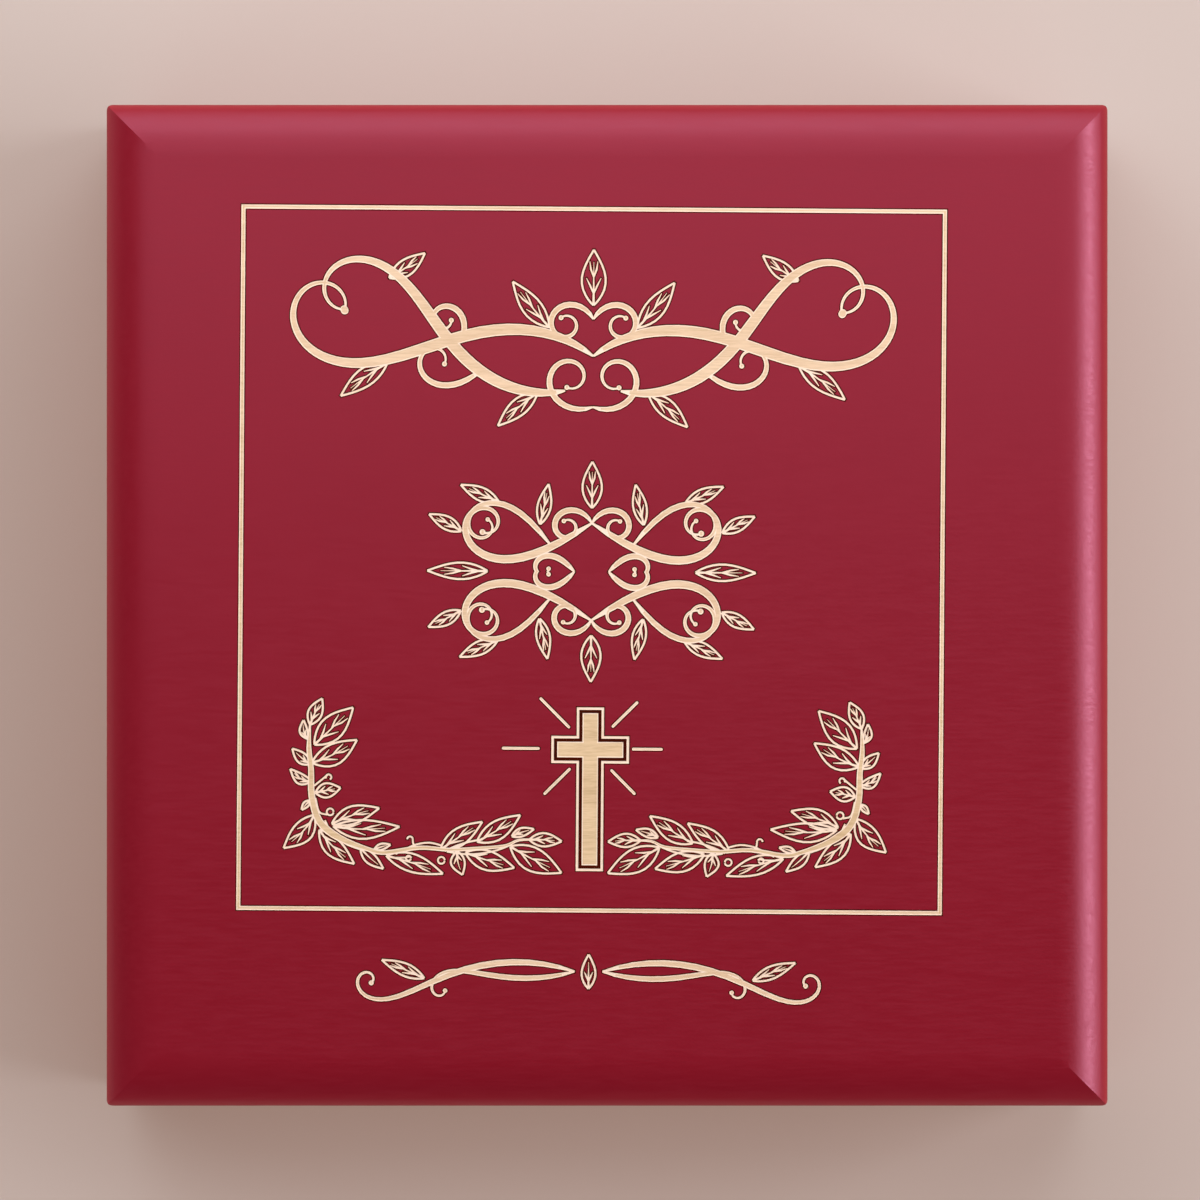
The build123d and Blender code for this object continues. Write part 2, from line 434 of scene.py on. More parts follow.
def triangulated(loops: list[Array]) -> tuple[Array, Array]:
    """Fills the loops' hull with triangles that keep every loop's edges: constrained Delaunay triangulation.

    Args:
        loops: Closed outlines, which may cross each other.

    Returns:
        The points, and the three corners of each triangle.
    """
    firsts = np.cumsum([0] + [len(loop) for loop in loops])
    rounds = [first + np.arange(len(loop)) for first, loop in zip(firsts, loops)]
    sides = np.vstack([np.stack([ids, np.roll(ids, -1)], axis=1) for ids in rounds])
    nearest = 0.1 * WELD_MM
    found = delaunay_2d_cdt(np.vstack(loops).tolist(), sides.tolist(), [], 0, nearest, False)
    return np.array(found[0], float), np.array(found[2])


def single(loop: Array) -> Array:
    """The loop in single precision, in which the triangulation works, so that every test sees the same."""
    return loop.astype(np.float32).astype(float)


@dataclass(frozen=True)
class Patch:
    """A part of the lid's top that is engraved on its own and may be mirrored.

    The outline's points are the only ones that it shares with what is around it.
    """

    outline: Array
    marks: list[Mark]
    holes: list[Array] = field(default_factory=list)
    flips: tuple[Point, ...] = ((1, 1),)
    centre: Point = (0.0, 0.0)

    def footprints(self) -> list[Array]:
        """The outlines that the patch fills with its mirror images, which stand apart or meet on the axes.

        Images that meet make one box, and the points where they meet on its edge stay in its outline.

        Returns:
            An outline for each image, or one round them all.
        """
        images = [self.outline * flip + self.centre for flip in self.flips]
        if len(images) == 1 or abs(self.outline[:, 0]).min() > 0:
            return images
        points = np.unique(np.vstack(images), axis=0)
        low, high = points.min(axis=0), points.max(axis=0)
        points = points[((points == low) | (points == high)).any(axis=1)]
        from_middle = points - (low + high) / 2
        return [points[np.argsort(np.arctan2(from_middle[:, 1], from_middle[:, 0]))]]

    def mesh(self) -> FlatMesh:
        """Triangles of the patch, each classed by what covers its middle, and their mirror images.

        Returns:
            The patch and its images as one mesh.
        """
        outline, holes = single(self.outline), [single(hole) for hole in self.holes]
        drawn = [loop for mark in self.marks for loop in mark.loops()]
        points, corners = triangulated([outline, *holes, *drawn])
        middles = points[corners].mean(axis=1)
        kept = inside_loop(middles, outline)
        for hole in holes:
            kept &= ~inside_loop(middles, hole)
        corners, middles = corners[kept], middles[kept]
        kinds = np.max([mark.kinds(middles) for mark in self.marks], axis=0)
        images = []
        for flip in self.flips:
            turned = corners if flip[0] * flip[1] > 0 else corners[:, ::-1]
            images.append(FlatMesh(points * flip + self.centre, turned, kinds))
        return joined(images)


def joined(meshes: list[FlatMesh]) -> FlatMesh:
    """The meshes as one.

    Points that round to the same tenth of a micrometre are made one, and a triangle that this flattens goes.

    Args:
        meshes: The meshes, all in one plane.

    Returns:
        One mesh with all their triangles.
    """
    firsts = np.cumsum([0] + [len(mesh.points) for mesh in meshes])
    points = np.vstack([mesh.points for mesh in meshes])
    corners = np.vstack([mesh.corners + first for mesh, first in zip(meshes, firsts)])
    kinds = np.concatenate([mesh.kinds for mesh in meshes])
    rounded = np.round(points / WELD_MM) + 0.0
    _, kept, renamed = np.unique(rounded, axis=0, return_index=True, return_inverse=True)
    corners = renamed.reshape(-1)[corners]
    whole = (corners != np.roll(corners, 1, axis=1)).all(axis=1)
    return FlatMesh(points[kept], corners[whole], kinds[whole])


@dataclass(frozen=True)
class Engraving:
    """The lid's engraving: a border, a cross with rays between two leafy sprays, and scrollwork.

    The drawing's sizes are in millimetres from the middle of the border. On the lid it stands a little off
    the middle, turned, and drawn slightly smaller.
    """

    shift: Point = (-3.32, 9.80)
    turn: float = -0.43
    scale: float = 0.9945
    depth: float = 0.08
    border_side: float = 151.6
    border_line: float = 0.9
    cross_height: float = 35.4
    cross_width: float = 16.8
    cross_bar: float = 5.9
    cross_arm_below_top: float = 9.15
    cross_foot_above_border: float = 8.5
    cross_outline: float = 0.55
    cross_outline_gap: float = 0.7
    ray_rise: float = 0.2
    ray_width: float = 0.62
    spray_shift: Point = (0.7, 0.0)
    spray_centre: Point = (-1.0, 0.3)
    heading_centre: Point = (0.0, 46.0)
    medallion_centre: Point = (0.0, -2.6)
    divider_centre: Point = (0.0, -89.0)

    def to_lid(self, points: Array) -> Array:
        """Places on the lid from places in the drawing: turned about its middle and scaled, then shifted."""
        cosine, sine = math.cos(math.radians(self.turn)), math.sin(math.radians(self.turn))
        return points @ np.array([[cosine, sine], [-sine, cosine]]) * self.scale + self.shift

    def from_lid(self, points: Array) -> Array:
        """Places in the drawing from places on the lid: the way back of to_lid."""
        cosine, sine = math.cos(math.radians(self.turn)), math.sin(math.radians(self.turn))
        return (points - self.shift) @ np.array([[cosine, -sine], [sine, cosine]]) / self.scale

    def border(self) -> list[Mark]:
        """The square border: pale bars across, along the grain, and tanned bars down, which overlap them.

        Returns:
            The bars across as one mark, and the bars down as another.
        """
        half, reach = self.border_side / 2, (self.border_side + self.border_line) / 2
        across = [bar((-reach, side), (reach, side), self.border_line) for side in (-half, half)]
        down = [bar((side, -reach), (side, reach), self.border_line) for side in (-half, half)]
        return [Mark(across, PALE_LINE), Mark(down, TAN_LINE)]

    def cross_patch(self) -> Patch:
        """The cross: an outline, a gap of lacquer darkened by charring and painted shade, and a bare middle,
        with rays from its crossing.

        Returns:
            The cross's patch, which has no mirror image.
        """
        top = -self.border_side / 2 + self.cross_foot_above_border + self.cross_height
        crossing = (0.0, top - self.cross_arm_below_top)
        post = bar((0, top - self.cross_height), (0, top), self.cross_bar)
        arms = bar((-self.cross_width / 2, crossing[1]), (self.cross_width / 2, crossing[1]), self.cross_bar)
        inner = self.cross_outline + self.cross_outline_gap
        layers = (
            (CHAR_AND_SHADE_REACH, Cut.SCORCH),
            (0.0, Cut.RIM),
            (-self.cross_outline, Cut.SCORCH),
            (-inner, Cut.RIM),
            (-inner - RIM_WIDTH, Cut.DEEP),
        )
        ray_reaches = {
            0: (9.0, 15.7),
            45: (6.6, 14.5),
            135: (6.3, 15.5),
            180: (10.9, 19.1),
            225: (6.0, 14.1),
            315: (6.3, 13.9),
        }
        middle = (crossing[0], crossing[1] + self.ray_rise)
        rays = [rounded_bar(middle, angle, *reach, self.ray_width) for angle, reach in ray_reaches.items()]
        ray_side, foot_side, shoulder, high, low = 20.5, 3.3, -52.9, -29.1, -69.4
        outline = np.array([
            (-foot_side, low),
            (foot_side, low),
            (foot_side, shoulder),
            (ray_side, shoulder),
            (ray_side, high),
            (-ray_side, high),
            (-ray_side, shoulder),
            (-foot_side, shoulder),
        ])
        return Patch(outline, [Mark([post, arms], layers), Mark(rays, PALE_LINE)])

    def spray_patch(self) -> Patch:
        """The leafy spray left of the cross, and its mirror image: a stem, leaves, tendrils and berries.

        Returns:
            The left spray's patch, mirrored to the right.
        """
        leaves = [
            Leaf((-60.3, -36.4), (-57.7, -30.7), left=1.6, right=1.4, veins=2),
            Leaf((-59.3, -40.7), (-51.0, -32.6), left=2.5, right=2.6, veins=2),
            Leaf((-59.8, -44.6), (-50.1, -39.6), left=1.7, right=2.8, veins=2),
            Leaf((-60.7, -39.5), (-61.7, -35.4), left=1.4, right=0.3, veins=1),
            Leaf((-60.1, -44.9), (-64.1, -41.6), left=1.4, right=0.9, veins=1),
            Leaf((-59.8, -48.6), (-64.5, -46.0), left=1.9, right=0.3, veins=2),
            Leaf((-59.0, -51.1), (-53.6, -50.0), left=1.6, right=1.5, veins=2),
            Leaf((-60.1, -52.8), (-62.0, -54.8), left=0.5, right=0.7, veins=0),
            Leaf((-59.2, -55.9), (-65.8, -63.1), left=2.8, right=1.5, veins=2),
            Leaf((-58.1, -59.1), (-50.5, -66.4), left=1.3, right=2.5, veins=2),
            Leaf((-55.4, -57.8), (-45.2, -54.3), left=2.3, right=1.5, veins=2),
            Leaf((-55.1, -58.3), (-40.8, -58.3), left=1.4, right=2.7, veins=2),
            Leaf((-49.2, -62.9), (-44.2, -67.4), left=0.9, right=1.4, veins=0),
            Leaf((-46.2, -63.3), (-42.7, -62.2), left=0.8, right=0.5, veins=0),
            Leaf((-43.6, -64.6), (-31.3, -68.4), left=2.2, right=1.7, veins=2),
            Leaf((-31.9, -63.2), (-22.9, -57.1), left=1.9, right=1.8, veins=2),
            Leaf((-28.3, -63.5), (-27.1, -68.6), left=1.1, right=1.9, veins=1),
            Leaf((-26.5, -63.8), (-15.9, -67.0), left=1.9, right=2.3, veins=2),
            Leaf((-24.0, -61.4), (-14.7, -55.6), left=1.8, right=2.2, veins=2),
            Leaf((-16.5, -60.2), (-11.7, -58.6), left=1.1, right=0.7, veins=1),
            Leaf((-16.8, -62.4), (-5.7, -68.0), left=2.3, right=2.8, veins=2),
            Leaf((-12.7, -60.9), (-5.7, -61.2), left=1.6, right=1.3, veins=2),
        ]
        stem = through(
            [
                (-60.3, -36.4),
                (-60.5, -41.4),
                (-60.0, -46.0),
                (-59.8, -51.8),
                (-58.1, -57.3),
                (-53.8, -60.8),
                (-47.3, -63.3),
                (-43.6, -63.9),
                (-36.5, -62.8),
                (-30.0, -63.2),
                (-24.6, -62.9),
                (-18.1, -62.3),
                (-14.9, -61.0),
                (-10.5, -60.9),
            ],
            steps=4,
        )
        stem_width = np.interp(
            np.linspace(0, 1, len(stem)),
            (0, 0.08, 0.25, 0.36, 0.45, 0.55, 0.68, 0.85, 1),
            (0.45, 1.1, 1.5, 1.7, 1.0, 1.0, 0.85, 0.7, 0.45),
        )
        strands = [
            [(-56.9, -57.0), (-55.9, -59.1), (-54.2, -60.9), (-51.9, -62.3), (-49.4, -63.2)],
            [(-41.6, -64.2), (-39.2, -63.0), (-37.1, -62.1), (-34.3, -61.7), (-31.6, -62.3)],
            [(-31.0, -63.5), (-28.4, -62.3), (-25.5, -61.4), (-22.8, -60.9)],
            [(-30.5, -63.6), (-27.0, -64.1), (-23.4, -64.0), (-19.6, -63.2), (-16.4, -61.9)],
        ]
        tendrils = [
            [(-59.3, -49.6), (-57.6, -48.2), (-56.3, -47.1)],
            [(-59.0, -52.2), (-58.2, -55.2), (-56.4, -55.8)],
            [(-37.2, -62.8), (-37.8, -61.9), (-37.9, -61.2)],
        ]
        fine_lines = [through(points, steps=3) for points in (*tendrils, *strands)]
        berries = [
            ring((-56.2, -47.7), 0.6, start=-60, sweep=270),
            ring((-55.8, -55.2), 0.75),
            ring((-38.5, -61.0), 0.6, start=-20, sweep=200),
            ring((-31.7, -65.5), 0.75),
            ring((-38.8, -65.1), 0.55),
        ]
        strokes = berries + [Stroke(line, np.full(len(line), FINE_LINE)) for line in fine_lines]
        for leaf in leaves:
            strokes += leaf.strokes()
        lines, stems = (
            [Stroke(stroke.points + self.spray_shift, stroke.widths) for stroke in group]
            for group in (strokes, [Stroke(stem, stem_width)])
        )
        left, inner, right, low, waist, high = -69.0, -45.0, -4.4, -70.6, -53.4, -28.6
        foot, arm = [(left, low), (right, low), (right, waist)], [(inner, waist), (inner, high), (left, high)]
        outline = np.array(foot + arm)
        marks = [Mark(lines, PALE_LINE), Mark(stems, TAN_LINE)]
        return Patch(outline, marks, flips=((1, 1), (-1, 1)), centre=self.spray_centre)

    def heading_patch(self) -> Patch:
        """Large scrollwork with leaves in the upper part.

        Returns:
            The right half's patch, mirrored to the left.
        """
        broad = Pen(thick=2.6, thin=0.45, fullest_at=0.32, steps=60, ball=1.7)
        slim = Pen(thick=1.3, thin=0.4, fullest_at=0.3, steps=32, ball=1.1)
        strokes = [
            *broad.scroll((0.0, -2.0), heading=38, length=92, turns=(-2.2, 13.5), power=2.2),
            *broad.scroll((6.0, -9.5), heading=-12, length=74, turns=(2.6, -15.0), power=2.6),
            *slim.scroll((29.0, 0.8), heading=125, length=21, turns=(-9.0, -34.0), power=1.5),
            *slim.scroll((24.0, -5.0), heading=-42, length=27, turns=(3.0, 27.0), power=1.5),
            *slim.scroll((0.0, 6.0), heading=62, length=26, turns=(-9.0, -30.0), power=1.4),
            *slim.scroll((0.0, -13.0), heading=-20, length=30, turns=(7.0, 24.0), power=1.6),
        ]
        for leaf in (
            Leaf((0.0, 9.0), (0.0, 21.0), left=2.6, right=2.6, veins=2),
            Leaf((9.5, 4.2), (17.5, 14.0), left=1.8, right=2.3, veins=2),
            Leaf((44.2, 14.6), (36.5, 20.0), left=2.0, right=1.5, veins=2),
            Leaf((12.0, -10.0), (20.5, -17.2), left=2.0, right=1.6, veins=2),
            Leaf((44.5, -3.8), (54.5, -11.0), left=2.2, right=1.7, veins=2),
        ):
            strokes += leaf.strokes()
        outline = box_loop(0, 68, -19.4, 23.4)
        return Patch(outline, [Mark(strokes, PALE_LINE)], flips=((1, 1), (-1, 1)), centre=self.heading_centre)

    def medallion_patch(self) -> Patch:
        """A medallion of scrolls and leaves in the middle.

        Returns:
            The upper right quarter's patch, mirrored to the other three.
        """
        broad = Pen(thick=1.8, thin=0.45, steps=46, ball=1.3)
        slim = Pen(thick=1.3, thin=0.4, steps=32, ball=1.0)
        strokes = [
            *broad.scroll((0.0, 10.5), heading=-33, length=49, turns=(0.4, 26.5), power=2.2),
            *slim.scroll((0.0, 10.5), heading=62, length=22, turns=(-9.8, -36.0), power=1.4),
            *slim.scroll((8.7, 5.5), heading=52, length=34.5, turns=(-0.7, -31.0), power=1.9),
            *slim.scroll((3.7, 0.0), heading=48, length=15.5, turns=(-2.2, -50.0), power=1.6),
        ]
        for leaf in (
            Leaf((0.0, 13.8), (0.0, 23.8), left=2.1, right=2.1, veins=2),
            Leaf((11.2, 10.2), (9.4, 18.9), left=1.5, right=1.4, veins=2),
            Leaf((20.2, 15.0), (28.4, 18.6), left=1.4, right=1.5, veins=2),
            Leaf((28.2, 8.6), (35.2, 12.2), left=1.5, right=1.3, veins=2),
            Leaf((22.5, 0.0), (35.5, 0.0), left=1.8, right=1.8, veins=2),
        ):
            strokes += leaf.strokes()
        flips = ((1, 1), (-1, 1), (1, -1), (-1, -1))
        outline = box_loop(0, 38, 0, 25.5)
        return Patch(outline, [Mark(strokes, PALE_LINE)], flips=flips, centre=self.medallion_centre)

    def divider_patch(self) -> Patch:
        """A long, low scroll below the border.

        Returns:
            The right half's patch, mirrored to the left.
        """
        broad = Pen(thick=1.4, thin=0.45, steps=44, ball=1.1)
        slim = Pen(thick=1.2, thin=0.4, steps=36, ball=1.0)
        strokes = [
            *broad.scroll((3.0, 0.0), heading=18, length=57, turns=(-1.45, 53.0), power=7),
            *slim.scroll((3.0, 0.0), heading=-16, length=37.5, turns=(1.45, -56.0), power=6),
        ]
        for leaf in (
            Leaf((0.0, -3.7), (0.0, 3.7), left=1.5, right=1.5, veins=1),
            Leaf((35.5, -1.7), (44.7, 2.2), left=1.4, right=1.3, veins=2),
        ):
            strokes += leaf.strokes()
        outline = box_loop(0, 54, -8.5, 6.5)
        return Patch(outline, [Mark(strokes, PALE_LINE)], flips=((1, 1), (-1, 1)), centre=self.divider_centre)

    def mesh(self, lid_edge: Array) -> FlatMesh:
        """The whole engraved top.

        Args:
            lid_edge: The edge of the lid's flat top, in the lid's own millimetres, anticlockwise.

        Returns:
            Its triangles, in the lid's own millimetres.
        """
        patches = [
            self.cross_patch(),
            self.spray_patch(),
            self.heading_patch(),
            self.medallion_patch(),
            self.divider_patch(),
        ]
        holes = [outline for patch in patches for outline in patch.footprints()]
        around = Patch(self.from_lid(lid_edge), self.border(), holes=holes)
        whole = joined([around.mesh(), *(patch.mesh() for patch in patches)])
        return FlatMesh(self.to_lid(whole.points), whole.corners, whole.kinds)


# Finishes


RANGE_SOCKETS = ("From Min", "From Max", "To Min", "To Max")


class Recipe:
    """A material under construction: one shader, with short calls for the nodes that the finishes share."""

    def __init__(self, name: str) -> None:
        """Starts an empty material with a Principled shader.

        Args:
            name: The material's name.
        """
        self.material = bpy.data.materials.new(name)
        self.material.use_nodes = True
        self.tree = self.material.node_tree
        self.tree.nodes.clear()
        self.shader = self.add("ShaderNodeBsdfPrincipled")
        output = self.add("ShaderNodeOutputMaterial")
        self.tree.links.new(self.shader.outputs["BSDF"], output.inputs["Surface"])
        self.place = self.add("ShaderNodeTexCoord").outputs["Object"]

    def add(self, kind: str, **settings: object) -> bpy.types.Node:
        """A new node in the material.

        Args:
            kind: The node's type.
            settings: The node's own settings, by name.

        Returns:
            The node.
        """
        node = self.tree.nodes.new(kind)
        for name, value in settings.items():
            setattr(node, name, value)
        return node

    def put(self, socket: bpy.types.NodeSocket, value: object) -> None:
        """Links a socket to what feeds it, or sets its value.

        Args:
            socket: The input to feed.
            value: Another node's output, or a plain value.
        """
        if isinstance(value, bpy.types.NodeSocket):
            self.tree.links.new(value, socket)
        else:
            socket.default_value = value

    def stretched(self, stretch: Triple, turn: Triple = (0, 0, 0)) -> object:
        """The place on the piece, stretched along the axes and turned.

        Args:
            stretch: The factor along each axis.
            turn: The turn about each axis, in radians.

        Returns:
            The socket with the new place.
        """
        mapping = self.add("ShaderNodeMapping")
        self.put(mapping.inputs["Vector"], self.place)
        mapping.inputs["Scale"].default_value = stretch
        mapping.inputs["Rotation"].default_value = turn
        return mapping.outputs["Vector"]

    def noise(self, place: object, size: float, detail: float = 3.0, roughness: float = 0.5) -> object:
        """Smooth noise from 0 to 1.

        Args:
            place: Where the noise is read.
            size: About how large its blotches are, in metres.
            detail: How many finer layers lie over the blotches.
            roughness: How strong each finer layer is beside the one before.

        Returns:
            The socket with the noise.
        """
        node = self.add("ShaderNodeTexNoise")
        self.put(node.inputs["Vector"], place)
        node.inputs["Scale"].default_value = 1 / size
        node.inputs["Detail"].default_value = detail
        node.inputs["Roughness"].default_value = roughness
        return node.outputs["Fac"]

    def ranged(
        self, value: object, low: float, high: float, to_low: float = 0.0, to_high: float = 1.0
    ) -> object:
        """A value moved from one range to another, eased between the ends and held beyond them.

        Args:
            value: The value.
            low: Where the first range starts.
            high: Where the first range ends.
            to_low: Where the second range starts.
            to_high: Where the second range ends.

        Returns:
            The socket with the new value.
        """
        node = self.add("ShaderNodeMapRange", interpolation_type="SMOOTHSTEP")
        for name, amount in zip(("Value", *RANGE_SOCKETS), (value, low, high, to_low, to_high)):
            self.put(node.inputs[name], amount)
        return node.outputs["Result"]

    def maths(self, operation: str, first: object, second: object = 0.0) -> object:
        """One arithmetic step on one or two values.

        Args:
            operation: The step's name, as the math node has it.
            first: A socket or a number.
            second: A socket or a number, which a step on one value leaves unread.

        Returns:
            The socket with the result.
        """
        node = self.add("ShaderNodeMath", operation=operation)
        self.put(node.inputs[0], first)
        self.put(node.inputs[1], second)
        return node.outputs[0]

    def blend(self, share: object, first: object, second: object) -> object:
        """A colour on the way from one to another.

        Args:
            share: How far on the way it is, from 0 to 1.
            first: The colour at 0.
            second: The colour at 1.

        Returns:
            The socket with the colour.
        """
        node = self.add("ShaderNodeMix", data_type="RGBA")
        self.put(node.inputs["Factor"], share)
        for name, colour in (("A", first), ("B", second)):
            socket = next(s for s in node.inputs if s.name == name and s.type == "RGBA")
            self.put(socket, colour if isinstance(colour, bpy.types.NodeSocket) else (*colour, 1.0))
        return next(s for s in node.outputs if s.type == "RGBA")

    def axis(self, letter: str) -> object:
        """How far a place lies from the middle along one axis.

        Args:
            letter: The axis: X, Y or Z.

        Returns:
            The socket with the distance, in metres.
        """
        split = self.add("ShaderNodeSeparateXYZ")
        self.put(split.inputs[0], self.place)
        return self.maths("ABSOLUTE", split.outputs[letter])

    def height(self, letter: str) -> object:
        """A place's coordinate along one axis, with its sign.

        Args:
            letter: The axis: X, Y or Z.

        Returns:
            The socket with the coordinate, in metres.
        """
        split = self.add("ShaderNodeSeparateXYZ")
        self.put(split.inputs[0], self.place)
        return split.outputs[letter]

    def bumps(self, layers: list[tuple[object, float]]) -> None:
        """Gives the surface relief.

        Args:
            layers: Height patterns, each with how many metres it stands proud at most.
        """
        below = None
        for height, reach in layers:
            node = self.add("ShaderNodeBump")
            node.inputs["Strength"].default_value = 1.0
            node.inputs["Distance"].default_value = reach
            self.put(node.inputs["Height"], height)
            if below is not None:
                self.put(node.inputs["Normal"], below)
            below = node.outputs["Normal"]
        self.put(self.shader.inputs["Normal"], below)

    def finish(self, **values: object) -> bpy.types.Material:
        """Sets the shader's sockets, which completes the material.

        Args:
            values: What goes into each socket, by the socket's name with _ for a space.

        Returns:
            The material.
        """
        for name, value in values.items():
            self.put(self.shader.inputs[name.replace("_", " ")], value)
        return self.material


class Edges(Enum):
    """Where a lacquered piece's own edges lie, at which the lacquer is thin and paler, partly as painted
    light.

    Each is the CAD node that they are measured from, and two lengths in millimetres: how far in from the side
    the lacquer starts to thin, and how far below the node's top the upper edge lies.
    """

    LID = ("lid_panel", 4.2, 5.6)
    WALL = ("front_wall", 1.5, 0.0)
    NONE = None


@dataclass(frozen=True)
class Lacquer:
    """Red lacquer on wood: satin, with the grain just showing through, and thin and paler at the edges,
    partly as painted light.
    """

    name: str
    grain: Grain = Grain.ALONG_X
    edges: Edges = Edges.NONE
    deep: Colour = (0.236, 0.0053, 0.0150)
    light: Colour = (0.252, 0.0060, 0.0162)
    # Paler where the lacquer is thin at the edges; down the lid's bevel partly painted light.
    thin: Colour = (0.31, 0.009, 0.013)
    gloss: Colour = (1.0, 0.41, 0.62)
    reflectance: float = 0.75
    shine: float = 0.33
    edge_dulling: float = 0.20

    def thinning_and_light_share(self, recipe: Recipe) -> object:
        """How thin the lacquer is along the edges, where it is painted paler.

        A place is near an edge where it is near both of the faces that meet there. Down the lid's bevel the
        lacquer thins slowly, and then quickly on the rounded edge itself. The slow paling down the bevel is
        partly painted light on the bevel.

        Args:
            recipe: The material that it is worked out in.

        Returns:
            The socket with the share, from 0 in the open to 1 at an edge.
        """

        def near(place: object, edge: float, start: float, end: float, most: float = 1.0) -> object:
            """From 0 at the start to the most at the end, both in millimetres inwards of the edge."""
            return recipe.ranged(place, edge - start * MM, edge - end * MM, 0.0, most)

        node, fading, drop = self.edges.value
        x, y, z = recipe.axis("X"), recipe.axis("Y"), recipe.height("Z")
        outermost, other = recipe.maths("MAXIMUM", x, y), recipe.maths("MINIMUM", x, y)
        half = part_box("lid_panel")[1].x
        low, high = (corner.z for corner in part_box(node))
        upright = near(other, half, start=1.3, end=0.4)
        rim = near(z, high - drop * MM, start=1.0, end=0.1)
        foot = near(z, low, start=-0.9, end=-0.2)
        level = recipe.maths("MAXIMUM", rim, foot)
        # Paling down the bevel: thin lacquer, and partly painted light.
        slowly = near(outermost, half, start=fading, end=0.9, most=0.45)
        quickly = near(outermost, half, start=1.4, end=0.4, most=0.55)
        outside = recipe.maths("ADD", slowly, quickly)
        return recipe.maths("MULTIPLY", outside, recipe.maths("MAXIMUM", upright, level))

    def material(self) -> bpy.types.Material:
        """Two close tones, mixed by fine grain and broad clouds, with a faintly rippled surface.

        Returns:
            The lacquer's material.
        """
        recipe = Recipe(self.name)
        grain_place = recipe.stretched(self.grain.value)
        grain = recipe.noise(grain_place, 0.5 * MM, detail=4, roughness=0.6)
        cloud = recipe.noise(recipe.place, 45 * MM, detail=2)
        peel = recipe.noise(recipe.place, 0.9 * MM, detail=2)
        fine, broad = recipe.ranged(grain, 0.3, 0.7, 0.0, 0.6), recipe.ranged(cloud, 0.3, 0.7, 0.0, 0.4)
        colour = recipe.blend(recipe.maths("ADD", fine, broad), self.deep, self.light)
        roughness = recipe.ranged(grain, 0.3, 0.7, self.shine - 0.04, self.shine + 0.05)
        if self.edges is not Edges.NONE:
            # Paler colour at the edges: thin lacquer, and down the lid's bevel partly painted light.
            thin = self.thinning_and_light_share(recipe)
            colour = recipe.blend(thin, colour, self.thin)
            roughness = recipe.maths("ADD", roughness, recipe.maths("MULTIPLY", thin, self.edge_dulling))
        recipe.bumps([(grain, 0.004 * MM), (peel, 0.012 * MM)])
        return recipe.finish(
            Base_Color=colour,
            Roughness=roughness,
            Specular_IOR_Level=self.reflectance,
            Specular_Tint=(*self.gloss, 1.0),
        )


@dataclass(frozen=True)
class BareWood:
    """Pale wood without a coat, with fine streaks of grain and pores."""

    name: str
    grain: Grain = Grain.ALONG_X
    light: Colour = (0.80, 0.60, 0.36)
    dark: Colour = (0.52, 0.33, 0.16)
    streak: float = 0.55
    relief: float = 0.02

    def material(self) -> bpy.types.Material:
        """Fine streaks and broad bands between the two tones, with the streaks as relief.

        Returns:
            The wood's material.
        """
        recipe = Recipe(self.name)
        place = recipe.stretched(self.grain.value)
        streaks = recipe.noise(place, self.streak * MM, detail=5, roughness=0.65)
        bands = recipe.noise(place, 6 * MM, detail=2)
        fine, broad = recipe.ranged(streaks, 0.35, 0.7, 0.0, 0.65), recipe.ranged(bands, 0.3, 0.7, 0.0, 0.35)
        shade = recipe.maths("ADD", fine, broad)
        recipe.bumps([(streaks, self.relief * MM)])
        return recipe.finish(Base_Color=recipe.blend(shade, self.light, self.dark), Roughness=0.72)


@dataclass(frozen=True)
class Felt:
    """Pressed felt: matt, with a tangle of short fibres and a soft sheen."""

    name: str
    deep: Colour = (0.009, 0.009, 0.010)
    light: Colour = (0.052, 0.050, 0.053)

    def material(self) -> bpy.types.Material:
        """Two lays of short fibres that cross, darker in slow patches, with the fibres as relief.

        Returns:
            The felt's material.
        """
        recipe = Recipe(self.name)
        layings = (((1, 0.25, 1), (0, 0, 0.9)), ((0.25, 1, 1), (0, 0, 0.5)))
        tangles = [
            recipe.noise(recipe.stretched(stretch, turn), 0.35 * MM, detail=4, roughness=0.7)
            for stretch, turn in layings
        ]
        fibres = recipe.maths("MAXIMUM", *tangles)
        wear = recipe.noise(recipe.place, 3 * MM, detail=4, roughness=0.6)
        tone, worn = recipe.ranged(fibres, 0.4, 0.75), recipe.ranged(wear, 0.3, 0.7, 0.35, 1.0)
        shade = recipe.maths("MULTIPLY", tone, worn)
        recipe.bumps([(fibres, 0.25 * MM)])
        return recipe.finish(
            Base_Color=recipe.blend(shade, self.deep, self.light),
            Roughness=0.95,
            Sheen_Weight=0.35,
            Sheen_Roughness=0.5,
        )


@dataclass(frozen=True)
class Metal:
    """Rolled metal with fine lengthwise scratches, whose depth is in millimetres."""

    name: str
    bright: Colour = (0.86, 0.67, 0.33)
    dull: Colour = (0.74, 0.55, 0.25)
    shine: float = 0.34
    scratch_depth: float = 0.0014

    def material(self) -> bpy.types.Material:
        """Bright metal that dulls in slow patches, with scratches along X.

        Returns:
            The metal's material.
        """
        recipe = Recipe(self.name)
        scratches = recipe.noise(recipe.stretched((0.03, 1, 1)), 0.15 * MM, detail=3)
        tarnish = recipe.noise(recipe.place, 9 * MM, detail=2)
        recipe.bumps([(scratches, self.scratch_depth * MM)])
        return recipe.finish(
            Base_Color=recipe.blend(recipe.ranged(tarnish, 0.35, 0.75), self.bright, self.dull),
            Roughness=recipe.ranged(scratches, 0.3, 0.7, self.shine - 0.06, self.shine + 0.08),
            Metallic=1.0,
        )


# Meshes


